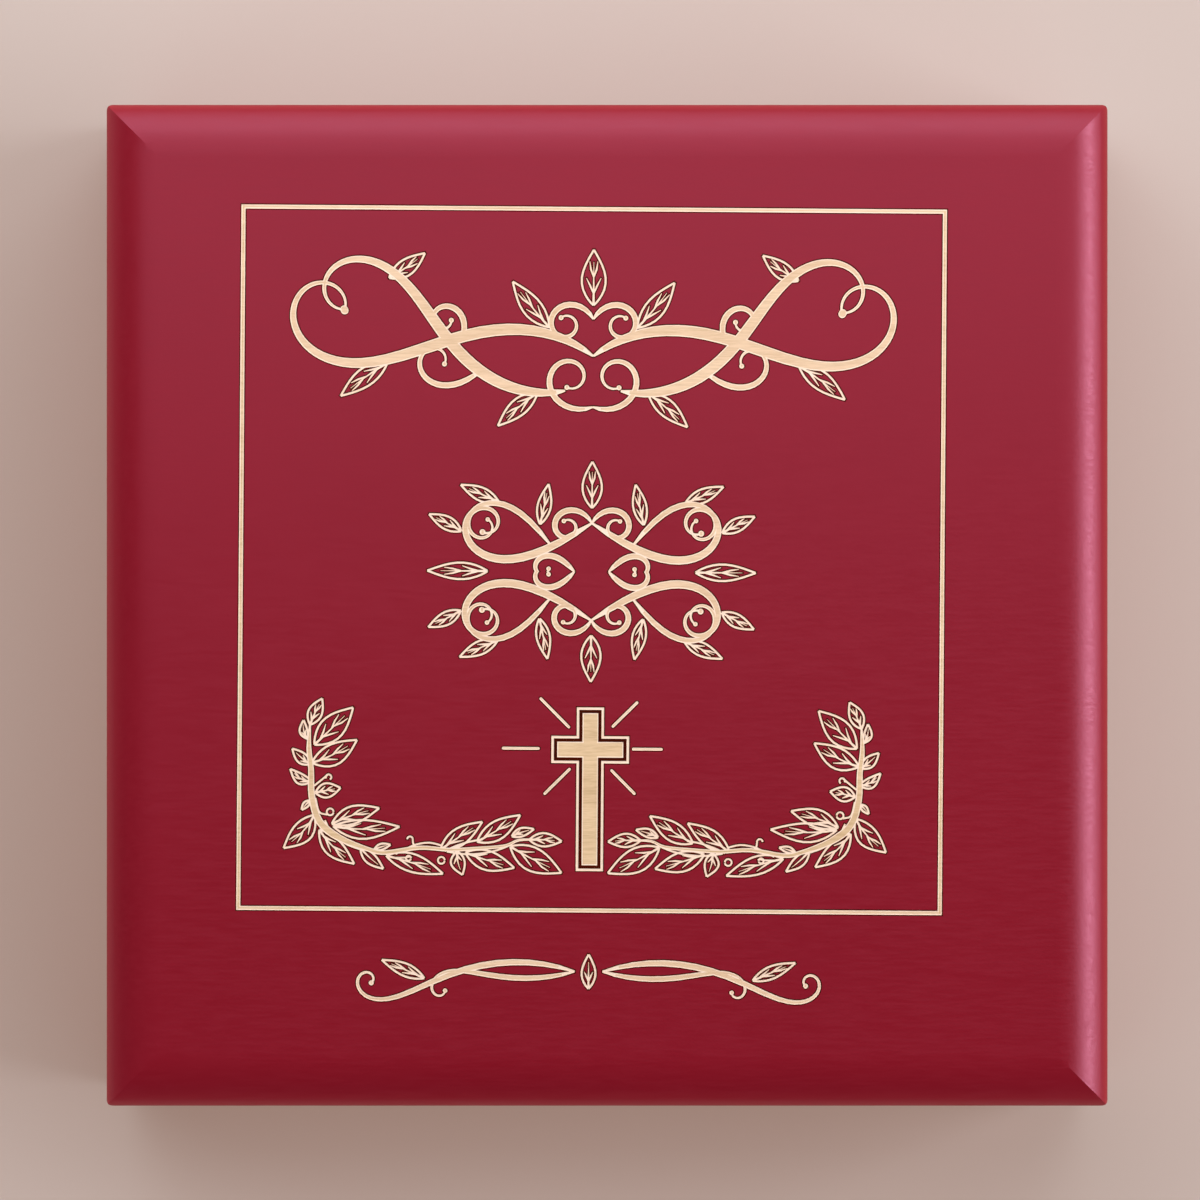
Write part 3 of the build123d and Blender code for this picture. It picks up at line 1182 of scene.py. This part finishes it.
def solid(
    name: str,
    points: Array,
    faces: list,
    materials: list[bpy.types.Material],
    kinds: Array | None = None,
    crease: float = 12.0,
) -> bpy.types.Object:
    """A closed piece from its points and faces.

    Args:
        name: The piece's name.
        points: Its points in millimetres, one row each. Points on the same place are made one.
        faces: The points' numbers round each face, anticlockwise as seen from outside.
        materials: Its materials.
        kinds: Each face's material number, or None where there is one.
        crease: Faces that meet at more than this many degrees keep a sharp edge between them.

    Returns:
        The piece, in metres, at the origin.
    """
    mesh = bpy.data.meshes.new(name)
    mesh.from_pydata((points * MM).tolist(), [], faces)
    if kinds is not None:
        mesh.polygons.foreach_set("material_index", kinds.astype(np.int32))
    shaped = bmesh.new()
    shaped.from_mesh(mesh)
    bmesh.ops.remove_doubles(shaped, verts=shaped.verts, dist=2 * WELD_MM * MM)
    shaped.to_mesh(mesh)
    open_edges = sum(1 for edge in shaped.edges if len(edge.link_faces) != 2)
    shaped.free()
    for material in materials:
        mesh.materials.append(material)
    mesh.polygons.foreach_set("use_smooth", np.ones(len(mesh.polygons), bool))
    mesh.set_sharp_from_angle(angle=math.radians(crease))
    piece = bpy.data.objects.new(name, mesh)
    bpy.context.scene.collection.objects.link(piece)
    counts = (len(mesh.vertices), len(mesh.polygons), open_edges)
    log.info("%s: %d points, %d faces, %d open edges", name, *counts)
    return piece


def planed(piece: bpy.types.Object) -> None:
    """Shades faces that lie square to an axis as flat, so that rounded edges beside them don't tilt them.

    Args:
        piece: The piece, all of whose faces are shaded smooth.
    """
    mesh = piece.data
    normals = np.zeros(3 * len(mesh.polygons))
    mesh.polygons.foreach_get("normal", normals)
    nearly_all = 0.999999
    square = np.abs(normals.reshape(-1, 3)).max(axis=1) > nearly_all
    mesh.polygons.foreach_set("use_smooth", ~square)
    mesh.update()


def grid_faces(rows: int, columns: int, wrap: bool = False) -> Array:
    """Four-sided faces between the rows of a grid of points, numbered row by row.

    Args:
        rows: How many rows of points there are.
        columns: How many points a row has.
        wrap: Whether a row's last point joins its first.

    Returns:
        The faces, anticlockwise where the columns run to the right and the rows upwards.
    """
    row, column = np.meshgrid(np.arange(rows - 1), np.arange(columns if wrap else columns - 1), indexing="ij")
    following = (column + 1) % columns
    corners = (row * columns + column, row * columns + following)
    return np.stack([*corners, corners[1] + columns, corners[0] + columns], axis=-1).reshape(-1, 4)


def arc(centre: Point, radius: float, start: float, end: float, steps: int) -> Array:
    """Points along a circle's arc, from a start angle to an end angle in degrees."""
    angle = np.radians(np.linspace(start, end, steps + 1))
    return np.array(centre) + radius * np.stack([np.cos(angle), np.sin(angle)], axis=1)


@dataclass(frozen=True)
class Shell:
    """Part of a piece's surface: its points, its faces as rows of their numbers, and what they are."""

    points: Array
    faces: Array
    kind: Cut

    def trimmed(self) -> "Shell":
        """The same faces, with only the points that they use."""
        used, renamed = np.unique(self.faces, return_inverse=True)
        return Shell(self.points[used], renamed.reshape(self.faces.shape), self.kind)


@dataclass
class LidBoard:
    """The lid: a board with an arched bevel on all sides, engraved on top, with room for two hinges behind.

    Its sizes are those of the CAD source, in millimetres. Its side and heights come from the frame.
    """

    side: float
    bottom: float
    top: float
    corner_round: float = 1.5
    arris_round: float = 0.6
    bevel_reach: float = 11.5
    bevel_drop: float = 4.0
    bevel_edge_round: float = 4.0
    axis_y: float = 105.5
    axis_z: float = 48.15
    groove_angle: float = 50.0
    groove_apex_y: float = 105.239
    pocket_radius: float = 2.5
    pocket_front: float = 97.3
    pocket_height: float = 1.2
    pocket_centres: tuple[float, float] = (-59.0, 59.0)
    pocket_half_length: float = 19.2
    engraving: Engraving = field(default_factory=Engraving)

    @classmethod
    def from_frame(cls) -> "LidBoard":
        """The lid with the side and heights of its CAD node."""
        low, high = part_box("lid_panel")
        return cls(side=(high.x - low.x) / MM, bottom=low.z / MM, top=high.z / MM)

    def groove_y(self, height: Array) -> Array:
        """How far back the board reaches at a height, where the groove for the stop slopes it away."""
        return self.groove_apex_y + (height - self.axis_z) / math.tan(math.radians(self.groove_angle))

    def groove_height(self, y: float) -> float:
        """The height at which the groove's slope passes this far back: the way back of groove_y."""
        return self.axis_z + (y - self.groove_apex_y) * math.tan(math.radians(self.groove_angle))

    def profile(self) -> Array:
        """The edge's section, from the underside up to the flat top.

        The eased lower arris is a quarter circle. The bevel is an arc that is level where it meets the top
        and falls by the drop over the reach. A smaller circle touches it and the side, and rounds off its
        lower end.

        Returns:
            Rows of inset and height.
        """
        arris_steps, side_steps, round_steps, bevel_steps, past_bevel = 8, 3, 12, 16, 0.5
        bevel_radius = (self.bevel_reach**2 + self.bevel_drop**2) / (2 * self.bevel_drop)
        bevel_centre = (self.bevel_reach, self.top - bevel_radius)
        between, inwards = bevel_radius - self.bevel_edge_round, self.bevel_reach - self.bevel_edge_round
        rise = math.sqrt(between**2 - inwards**2)
        round_centre = (self.bevel_edge_round, bevel_centre[1] + rise)
        touch = 90 + math.degrees(math.atan2(inwards, rise))
        arris_centre = (self.arris_round, self.bottom + self.arris_round)
        arris = arc(arris_centre, self.arris_round, 270, 180, arris_steps)
        notch_top = self.groove_height(self.side / 2)
        notch_middle = self.pocket_end()[1]
        levels = np.linspace(arris[-1, 1], notch_middle, side_steps + 1)[1:].tolist()
        levels += np.linspace(notch_middle, notch_top, side_steps + 1)[1:].tolist()
        side = np.array([(0.0, level) for level in levels])
        rounded = arc(round_centre, self.bevel_edge_round, 180, touch, round_steps)
        bevel = arc(bevel_centre, bevel_radius, touch, 90, bevel_steps)[1:]
        flat = np.array([(self.bevel_reach + past_bevel, self.top)])
        return np.vstack([arris, side, rounded, bevel, flat])

    def pocket_end(self) -> Point:
        """Where the round of a hinge pocket runs out into the groove's slope.

        It is the upper of the two places where the slope's straight line crosses the pocket's circle, so its
        distance from the groove's apex is the larger root of a quadratic.

        Returns:
            Its y and height.
        """
        slope = math.radians(self.groove_angle)
        along = np.array([math.cos(slope), math.sin(slope)])
        apex = np.array([self.groove_apex_y - self.axis_y, 0.0])
        reach = -apex @ along + math.sqrt((apex @ along) ** 2 - apex @ apex + self.pocket_radius**2)
        y, rise = apex + reach * along
        return self.axis_y + y, self.axis_z + rise

    def pocket_profile(self) -> Array:
        """A hinge pocket's section: up, back along the leaf, and round the barrel.

        Returns:
            Rows of y and height.
        """
        barrel_steps = 14
        ceiling = self.bottom + self.pocket_height
        rise = ceiling - self.axis_z
        start = 180 - math.degrees(math.asin(rise / self.pocket_radius))
        end_y, end_z = self.pocket_end()
        end = math.degrees(math.atan2(end_z - self.axis_z, end_y - self.axis_y))
        barrel = arc((self.axis_y, self.axis_z), self.pocket_radius, start, end, barrel_steps)
        return np.vstack([[(self.pocket_front, self.bottom), (self.pocket_front, ceiling)], barrel])

    def perimeter(self) -> Array:
        """Places round the board's outer edge, anticlockwise from the front left.

        The back side has a place at each end of both hinge pockets.

        Returns:
            Rows of x and y.
        """
        side_places, corner_steps, clearance = 25, 9, 1.0
        half, straight = self.side / 2, self.side / 2 - self.corner_round
        even = np.linspace(-straight, straight, side_places)
        reach = self.pocket_half_length
        ends = [centre + end for centre in self.pocket_centres for end in (-reach, reach)]
        clear = even[np.abs(even[:, None] - np.array(ends)).min(axis=1) > clearance]
        back = np.sort(np.concatenate([clear, ends]))[::-1]
        runs = [
            np.stack([even, np.full(len(even), -half)], axis=1),
            np.stack([np.full(len(even), half), even], axis=1),
            np.stack([back, np.full(len(back), half)], axis=1),
            np.stack([np.full(len(even), -half), even[::-1]], axis=1),
        ]
        corners = ((straight, -straight), (straight, straight), (-straight, straight), (-straight, -straight))
        for side, corner in enumerate(corners):
            start = -90 + 90 * side
            rounding = arc(corner, self.corner_round, start, start + 90, corner_steps)[1:-1]
            runs[side] = np.vstack([runs[side], rounding])
        return np.vstack(runs)

    def rings(self) -> Array:
        """The edge's surface: each place round the board, at each step of the profile.

        A ring is the perimeter held within a square that is smaller by the inset, and in front of the groove,
        so the bevels meet in mitres.

        Returns:
            The points, by profile step, place and axis.
        """
        inset, height = self.profile().T[:, :, None]
        places = self.perimeter()
        reach = self.side / 2 - inset
        x = np.clip(places[None, :, 0], -reach, reach)
        y = np.clip(places[None, :, 1], -reach, reach)
        y = np.minimum(y, self.groove_y(height))
        return np.stack([x, y, np.broadcast_to(height, x.shape)], axis=-1)

    def build(self) -> tuple[Array, list, Array]:
        """The whole board.

        Returns:
            Its points, its faces, and what each face is.
        """
        rings = self.rings()
        steps, count = rings.shape[:2]
        edge_points = rings.reshape(-1, 3)
        edge_faces = grid_faces(steps, count, wrap=True)
        middle = edge_points[edge_faces].mean(axis=1)
        off_centre = np.abs(middle[:, :1] - np.array(self.pocket_centres)).min(axis=1)
        in_section = (middle[:, 1] > self.pocket_front) & (middle[:, 2] < self.pocket_end()[1])
        open_here = in_section & (off_centre < self.pocket_half_length)
        parts = [Shell(edge_points, edge_faces[~open_here], Cut.LACQUER)]
        parts += self.pockets(rings)
        parts.append(self.underside(rings[0]))
        parts += self.top_parts(rings[-1, :, :2])
        points, faces, kinds, first = [], [], [], 0
        for part in (part.trimmed() for part in parts):
            points.append(part.points)
            faces += (part.faces + first).tolist()
            kinds.append(np.full(len(part.faces), part.kind))
            first += len(part.points)
        return np.vstack(points), faces, np.concatenate(kinds)

    def pocket_columns(self, rings: Array, centre: float) -> Array:
        """The places along a hinge pocket, from left to right, that the ring at the underside has.

        Args:
            rings: The points of the edge's surface, by profile step, place and axis.
            centre: The middle of the pocket along X.

        Returns:
            The places' x.
        """
        lowest = rings[0]
        behind = lowest[:, 1] > self.pocket_front
        within = np.abs(lowest[:, 0] - centre) < self.pocket_half_length + WELD_MM
        return np.sort(lowest[behind & within, 0])

    def pockets(self, rings: Array) -> list[Shell]:
        """The two hinge pockets: each one's section carried along X, and its two flat ends.

        Args:
            rings: The points of the edge's surface, by profile step, place and axis.

        Returns:
            Three shells for each pocket.
        """
        profile = self.pocket_profile()
        levels = rings[:, 0, 2]
        slope_levels = levels[(levels >= self.bottom) & (levels < self.pocket_end()[1] - WELD_MM)]
        slope = np.stack([self.groove_y(slope_levels), slope_levels], axis=1)
        parts = []
        for centre in self.pocket_centres:
            x = self.pocket_columns(rings, centre)
            across = np.broadcast_to(x[None, :], (len(profile), len(x)))
            along = np.broadcast_to(profile[:, None, :], (len(profile), len(x), 2))
            walls = np.concatenate([across[..., None], along], axis=2).reshape(-1, 3)
            parts.append(Shell(walls, grid_faces(len(profile), len(x))[:, ::-1], Cut.DEEP))
            section = np.vstack([slope, profile[::-1]])
            for end, order in ((x[0], 1), (x[-1], -1)):
                flat = np.column_stack([np.full(len(section), end), section])
                parts.append(Shell(flat, np.arange(len(section))[None, ::order], Cut.DEEP))
        return parts

    def underside(self, lowest: Array) -> Shell:
        """The flat underside: the lowest ring, whose places in a hinge pocket move to the pocket's front.

        A place at a pocket's end is there twice, and the one towards the pocket moves.

        Args:
            lowest: The lowest ring's points.

        Returns:
            A shell of one face.
        """
        off_centres = lowest[:, :1] - np.array(self.pocket_centres)
        nearest = np.abs(off_centres).argmin(axis=1)
        off_centre = off_centres[np.arange(len(lowest)), nearest]
        past_end = np.abs(off_centre) - self.pocket_half_length
        within = (past_end < WELD_MM) & (lowest[:, 1] > self.pocket_front)
        at_end = within & (past_end > -WELD_MM)
        copies = 1 + at_end
        outline = np.repeat(lowest, copies, axis=0)
        moved = np.repeat(within, copies)
        first_copies = np.cumsum(copies) - copies
        moved[(first_copies + (off_centre < 0))[at_end]] = False
        outline[moved, 1] = self.pocket_front
        return Shell(outline, np.arange(len(outline))[None, ::-1], Cut.LACQUER)

    def top_parts(self, edge: Array) -> list[Shell]:
        """The engraved top: the face, the grooves' floors a little lower, and the walls between them.

        A wall stands on each edge that an engraved triangle shares with one that isn't.

        Args:
            edge: The places round the flat top.

        Returns:
            One shell for each kind of cut.
        """
        kept = np.linalg.norm(edge - np.roll(edge, 1, axis=0), axis=1) > WELD_MM
        flat = self.engraving.mesh(edge[kept])
        cut = flat.kinds >= Cut.RIM
        count = len(flat.points)
        face = np.column_stack([flat.points, np.full(count, self.top)])
        floor = face - (0, 0, self.engraving.depth)
        inner, outer = (
            np.vstack([flat.corners[part][:, [i, (i + 1) % 3]] for i in range(3)]) for part in (cut, ~cut)
        )
        shared = np.isin(inner[:, 0] * count + inner[:, 1], outer[:, 1] * count + outer[:, 0])
        start, end = inner[shared].T
        walls = np.stack([end + count, start + count, start, end], axis=1)
        levels = {Cut.LACQUER: face, Cut.SCORCH: face, Cut.RIM: floor, Cut.CORE: floor, Cut.DEEP: floor}
        parts = [Shell(level, flat.corners[flat.kinds == kind], kind) for kind, level in levels.items()]
        parts.append(Shell(np.vstack([face, floor]), walls, Cut.WALL))
        return parts

    def make(self) -> bpy.types.Object:
        """Builds and dresses the lid, which takes the place of its CAD node.

        Returns:
            The lid.
        """
        # Dark lacquer round the cuts: partly charring, partly painted shade at the grooves' edges.
        charred_and_shaded = {"deep": (0.044, 0.005, 0.002), "light": (0.068, 0.007, 0.003), "reflectance": 0.03}
        woods = {
            Cut.RIM: ("engraved_rim", (1.0, 0.80, 0.66), (0.96, 0.72, 0.56)),
            Cut.CORE: ("engraved_core", (0.88, 0.63, 0.43), (0.69, 0.46, 0.28)),
            Cut.DEEP: ("engraved_floor", (0.84, 0.60, 0.37), (0.62, 0.41, 0.22)),
            Cut.WALL: ("groove_wall", (0.86, 0.66, 0.44), (0.66, 0.46, 0.28)),
        }
        finishes = {
            Cut.LACQUER: Lacquer("lid_lacquer", edges=Edges.LID),
            Cut.SCORCH: Lacquer("charred_and_shaded_lacquer", **charred_and_shaded),
        }
        for cut, (name, light, dark) in woods.items():
            finishes[cut] = BareWood(name, light=light, dark=dark, streak=0.4)
        points, faces, kinds = self.build()
        lid = solid("engraved_lid", points, faces, [finishes[cut].material() for cut in Cut], kinds)
        planed(lid)
        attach(lid, "lid")
        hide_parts("lid_panel")
        return lid


@dataclass
class Carcass:
    """The box under the lid: four lacquered walls, whose grain runs along each, and a bare bottom panel."""

    along_x: tuple[str, ...] = ("front_wall", "back_wall")
    along_y: tuple[str, ...] = ("left_wall", "right_wall")

    def make(self) -> None:
        """Dresses the walls and the bottom panel, which keep their CAD shapes."""
        dress(self.along_x, Lacquer("wall_lacquer_across", Grain.ALONG_X, Edges.WALL).material())
        dress(self.along_y, Lacquer("wall_lacquer_along", Grain.ALONG_Y, Edges.WALL).material())
        colours = {"light": (0.62, 0.45, 0.27), "dark": (0.42, 0.27, 0.14)}
        panel = BareWood("bottom_panel_wood", **colours, streak=0.8, relief=0.04)
        dress(("bottom_panel",), panel.material())


@dataclass
class HingePair:
    """The two brass hinges: leaves, pins and screws, which keep their CAD shapes."""

    sides: tuple[str, ...] = ("left", "right")

    def make(self) -> None:
        """Dresses the hinges' pieces."""
        brass = Metal("rolled_brass").material()
        colours = {"bright": (0.90, 0.72, 0.38), "dull": (0.80, 0.61, 0.30)}
        polished = Metal("screw_brass", **colours, shine=0.26, scratch_depth=0.0005).material()
        for side in self.sides:
            dress((f"{side}_hinge_wall_leaf", f"{side}_hinge_lid_leaf"), brass)
            dress((f"{side}_hinge_pin", f"{side}_hinge_wall_screws", f"{side}_hinge_lid_screws"), polished)


def dress(nodes: tuple[str, ...], material: bpy.types.Material) -> None:
    """Gives CAD nodes a material, in place of the one that they came with.

    Args:
        nodes: The nodes' names.
        material: The material.
    """
    for name in nodes:
        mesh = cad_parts[name].data
        mesh.materials.clear()
        mesh.materials.append(material)
        log.info("%s: %s", name, material.name)


@dataclass
class FeltLining:
    """The felt sheet glued on the bottom panel: flat, a little uneven, with soft cut edges."""

    edge_round: float = 0.6
    unevenness: float = 0.10
    steps: int = 96
    edge_stretch: float = 12
    ripple_lengths: tuple[float, ...] = (9.1, 13.7, 11.3, 17.9)
    ripple_sway: float = 0.7

    def make(self) -> bpy.types.Object:
        """Builds the sheet, which takes the place of its CAD node.

        Its upper side is a grid whose height falls off at the edges as a quarter circle does, with a slow
        ripple of sines, whose lengths are in millimetres per radian. The lower side is the same grid, flat.
        The rounded edge has evenly spaced grid lines of its own, about as many as the steps divided by the
        stretch.

        Returns:
            The sheet.
        """
        low, high = (np.array(corner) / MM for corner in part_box("floor_felt"))
        spread = (1 - np.cos(np.pi * np.linspace(0, 1, self.steps))) / 2
        near = np.minimum(np.linspace(0, 1, self.steps) * self.edge_stretch, 1) * self.edge_round
        line = np.unique(np.concatenate([near[near < self.edge_round], [self.edge_round]]))
        inner = low[0] + self.edge_round + spread * (high[0] - low[0] - 2 * self.edge_round)
        x = np.concatenate([low[0] + line[:-1], inner, (high[0] - line[:-1])[::-1]])
        x, y = np.meshgrid(x, x * (high[1] - low[1]) / (high[0] - low[0]))
        inset = np.minimum(np.minimum(x - low[0], high[0] - x), np.minimum(y - low[1], high[1] - y))
        short = np.clip(1 - inset / self.edge_round, 0, 1)
        fall = self.edge_round * (1 - np.sqrt(np.clip(1 - short**2, 0, 1)))
        lengths = self.ripple_lengths
        across = np.sin(x / lengths[0] + np.sin(y / lengths[1]))
        ripple = across * np.cos(y / lengths[2] + self.ripple_sway * np.sin(x / lengths[3]))
        upper = high[2] - fall - self.unevenness * (1 + ripple) / 2
        count = x.size
        top = np.stack([x, y, upper], axis=-1).reshape(-1, 3)
        base = np.stack([x, y, np.full(x.shape, low[2])], axis=-1).reshape(-1, 3)
        grid = grid_faces(*x.shape)
        ids = np.arange(count).reshape(x.shape)
        rim = np.concatenate([ids[0, :-1], ids[:-1, -1], ids[-1, :0:-1], ids[:0:-1, 0]])
        following = np.roll(rim, -1)
        skirt = np.stack([rim + count, following + count, following, rim], axis=1)
        faces = np.vstack([grid, grid[:, ::-1] + count, skirt])
        felt = Felt("lining_felt").material()
        sheet = solid("lining_felt_sheet", np.vstack([top, base]), faces.tolist(), [felt], crease=50)
        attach(sheet, "base")
        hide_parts("floor_felt")
        return sheet


@dataclass
class FeltFeet:
    """Four round felt pads under the corners."""

    names: tuple[str, ...] = ("front_left_foot", "front_right_foot", "back_right_foot", "back_left_foot")
    edge_round: float = 0.45
    around: int = 48

    def make(self) -> list[bpy.types.Object]:
        """The pads, in place of their CAD nodes."""
        felt = Felt("foot_felt", deep=(0.16, 0.12, 0.09), light=(0.30, 0.24, 0.19)).material()
        return [self.pad(name, felt) for name in self.names]

    def pad(self, node: str, felt: bpy.types.Material) -> bpy.types.Object:
        """One pad: a section with rounded corners turned about its middle, with a pole on each side.

        Args:
            node: The CAD node that it stands for.
            felt: Its material.

        Returns:
            The pad.
        """
        low, high = (np.array(corner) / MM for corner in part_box(node))
        radius, edge = (high[0] - low[0]) / 2, self.edge_round
        lower = arc((radius - edge, low[2] + edge), edge, 270, 360, 6)
        upper = arc((radius - edge, high[2] - edge), edge, 0, 90, 6)
        innermost, rounds = 0.02, 6
        inwards = np.linspace(innermost, 1, rounds)[:, None] * (radius - edge)
        floor = np.column_stack([inwards, np.full(rounds, low[2])])[:-1]
        section = np.vstack([floor, lower, upper, (floor * (1, 0) + (0, high[2]))[::-1]])
        angle = np.linspace(0, 2 * np.pi, self.around, endpoint=False)
        middle = (low + high) / 2
        reach, height = section[:, 0][:, None], section[:, 1][:, None]
        x = middle[0] + reach * np.cos(angle)
        y = middle[1] + reach * np.sin(angle)
        points = np.stack([x, y, np.broadcast_to(height, x.shape)], axis=-1).reshape(-1, 3)
        poles = np.array([(middle[0], middle[1], low[2]), (middle[0], middle[1], high[2])])
        first, count = np.arange(self.around), len(points)
        last = first + count - self.around
        faces = grid_faces(len(section), self.around, wrap=True).tolist()
        faces += np.stack([np.roll(first, -1), first, np.full(self.around, count)], axis=1).tolist()
        faces += np.stack([last, np.roll(last, -1), np.full(self.around, count + 1)], axis=1).tolist()
        piece = solid(f"{node}_pad", np.vstack([points, poles]), faces, [felt], crease=40)
        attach(piece, "base")
        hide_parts(node)
        return piece


# Studio


@dataclass
class Studio:
    """A plain pale floor, soft light and a camera straight above, as in the photograph."""

    image_pixels: float = 1200.0
    lid_left: float = 106.7
    lid_right: float = 1107.5
    lid_top: float = 103.3
    lid_bottom: float = 1107.3
    outline_below_top: float = 6.0
    lens: float = 200.0
    sensor: float = 36.0
    floor_colour: Colour = (0.45, 0.42, 0.41)
    floor_lift: Colour = (0.170, 0.085, 0.050)
    far_floor: Colour = (0.64, 0.53, 0.48)
    surroundings: Colour = (1.0, 0.87, 0.80)
    ambient_low: float = 0.60
    ambient_front: float = 0.25
    ambient_high: float = 0.05
    floor_fade: Point = (0.25, 0.9)
    sky_fade: Point = (0.15, 0.45)

    def camera(self) -> None:
        """Sets the camera so that the lid fills the same pixels as in the photograph."""
        low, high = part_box("lid_panel")
        widest = high.z - self.outline_below_top * MM
        pixel = (high.x - low.x) / (self.lid_right - self.lid_left)
        frame_width = pixel * self.image_pixels
        data = bpy.data.cameras.new("camera")
        data.lens, data.sensor_width = self.lens, self.sensor
        camera = bpy.data.objects.new("camera", data)
        across = (self.lid_left + self.lid_right - self.image_pixels) / 2 * pixel
        down = (self.lid_top + self.lid_bottom - self.image_pixels) / 2 * pixel
        camera.location = (-across, down, widest + frame_width * self.lens / self.sensor)
        data.clip_end = 20.0
        bpy.context.scene.collection.objects.link(camera)
        bpy.context.scene.camera = camera

    def lamp(
        self, name: str, direction: float, elevation: float, distance: float, size: Point, glow: float
    ) -> None:
        """One soft lamp that faces the middle of the lid.

        Args:
            name: The lamp's name.
            direction: Where it stands, in degrees from +X towards +Y.
            elevation: How high it stands above the horizon, in degrees.
            distance: How far from the lid, in metres.
            size: Its width and height, in metres.
            glow: How bright its face is, where 1 is as bright as white paper in full light.
        """
        data = bpy.data.lights.new(name, "AREA")
        data.shape = "RECTANGLE"
        data.size, data.size_y = size
        data.energy = glow * math.pi * size[0] * size[1]
        lamp = bpy.data.objects.new(name, data)
        lamp.visible_camera = False
        turn, rise = math.radians(direction), math.radians(elevation)
        towards = Vector((math.cos(turn) * math.cos(rise), math.sin(turn) * math.cos(rise), math.sin(rise)))
        lamp.location = Vector((0, 0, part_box("lid_panel")[1].z)) + distance * towards
        lamp.rotation_euler = towards.to_track_quat("Z", "Y").to_euler()
        bpy.context.scene.collection.objects.link(lamp)

    def floor(self) -> None:
        """A wide plain floor under the box, with the box's shadow on it.

        To the camera and in reflections it is a little lifted, and away from the box it fades to an even pale
        tone.
        """
        reach = 6.0
        mesh = bpy.data.meshes.new("floor")
        corners = [(-reach, -reach, 0), (reach, -reach, 0), (reach, reach, 0), (-reach, reach, 0)]
        mesh.from_pydata(corners, [], [(0, 1, 2, 3)])
        recipe = Recipe("pale_floor")
        distance = recipe.add("ShaderNodeVectorMath", operation="LENGTH")
        recipe.put(distance.inputs[0], recipe.place)
        far = recipe.ranged(distance.outputs["Value"], *self.floor_fade)
        rays = recipe.add("ShaderNodeLightPath").outputs
        seen = recipe.maths("MAXIMUM", rays["Is Camera Ray"], rays["Is Glossy Ray"])
        seen = recipe.maths("MAXIMUM", seen, rays["Is Transmission Ray"])
        recipe.finish(
            Base_Color=recipe.blend(recipe.maths("MULTIPLY", far, seen), self.floor_colour, (0.0, 0.0, 0.0)),
            Roughness=1.0,
            Specular_IOR_Level=0.0,
            Emission_Color=recipe.blend(far, self.floor_lift, self.far_floor),
            Emission_Strength=seen,
        )
        mesh.materials.append(recipe.material)
        floor = bpy.data.objects.new("floor", mesh)
        bpy.context.scene.collection.objects.link(floor)

    def world(self) -> None:
        """A soft surrounding light: bright near the horizon, less so in front, and dim overhead."""
        world = bpy.data.worlds.new("surroundings")
        bpy.context.scene.world = world
        world.use_nodes = True
        nodes, links = world.node_tree.nodes, world.node_tree.links
        nodes.clear()
        light, output = nodes.new("ShaderNodeBackground"), nodes.new("ShaderNodeOutputWorld")
        direction, split = nodes.new("ShaderNodeTexCoord"), nodes.new("ShaderNodeSeparateXYZ")
        links.new(direction.outputs["Generated"], split.inputs[0])
        behind, fade = nodes.new("ShaderNodeMapRange"), nodes.new("ShaderNodeMapRange")
        links.new(split.outputs["Y"], behind.inputs["Value"])
        links.new(split.outputs["Z"], fade.inputs["Value"])
        ranges = (
            (behind, (-1.0, 0.0, self.ambient_front, self.ambient_low)),
            (fade, (*self.sky_fade, self.ambient_low, self.ambient_high)),
        )
        for node, ends in ranges:
            for name, amount in zip(RANGE_SOCKETS, ends):
                node.inputs[name].default_value = amount
        links.new(behind.outputs["Result"], fade.inputs["To Min"])
        light.inputs["Color"].default_value = (*self.surroundings, 1.0)
        links.new(fade.outputs["Result"], light.inputs["Strength"])
        links.new(light.outputs["Background"], output.inputs["Surface"])

    def make(self) -> None:
        """The whole studio."""
        bpy.context.scene.view_settings.view_transform = "Standard"
        self.camera()
        self.floor()
        self.world()
        self.lamp("strip_right", direction=0, elevation=36.5, distance=2.4, size=(1.4, 0.40), glow=10.0)
        self.lamp("softbox_right", direction=0, elevation=39.7, distance=2.4, size=(1.4, 1.00), glow=4.1)
        self.lamp("softbox_back_low", direction=90, elevation=34, distance=0.65, size=(0.9, 0.30), glow=2.85)
        self.lamp("softbox_back_high", direction=90, elevation=66, distance=0.65, size=(0.9, 0.45), glow=1.28)
        self.lamp("fill_back_left", direction=140, elevation=12, distance=1.2, size=(0.9, 0.30), glow=4.5)
        self.lamp("fill_front_left", direction=225, elevation=12, distance=1.2, size=(0.9, 0.40), glow=2.3)
        self.lamp("fill_front_right", direction=315, elevation=12, distance=1.2, size=(0.9, 0.40), glow=2.3)


def main() -> None:
    """Builds and dresses the whole box, then the studio round it."""
    logging.basicConfig(level=logging.INFO, format="%(name)s: %(message)s")
    for part in (LidBoard.from_frame(), Carcass(), HingePair(), FeltLining(), FeltFeet(), Studio()):
        part.make()


if __name__ == "__main__":
    main()
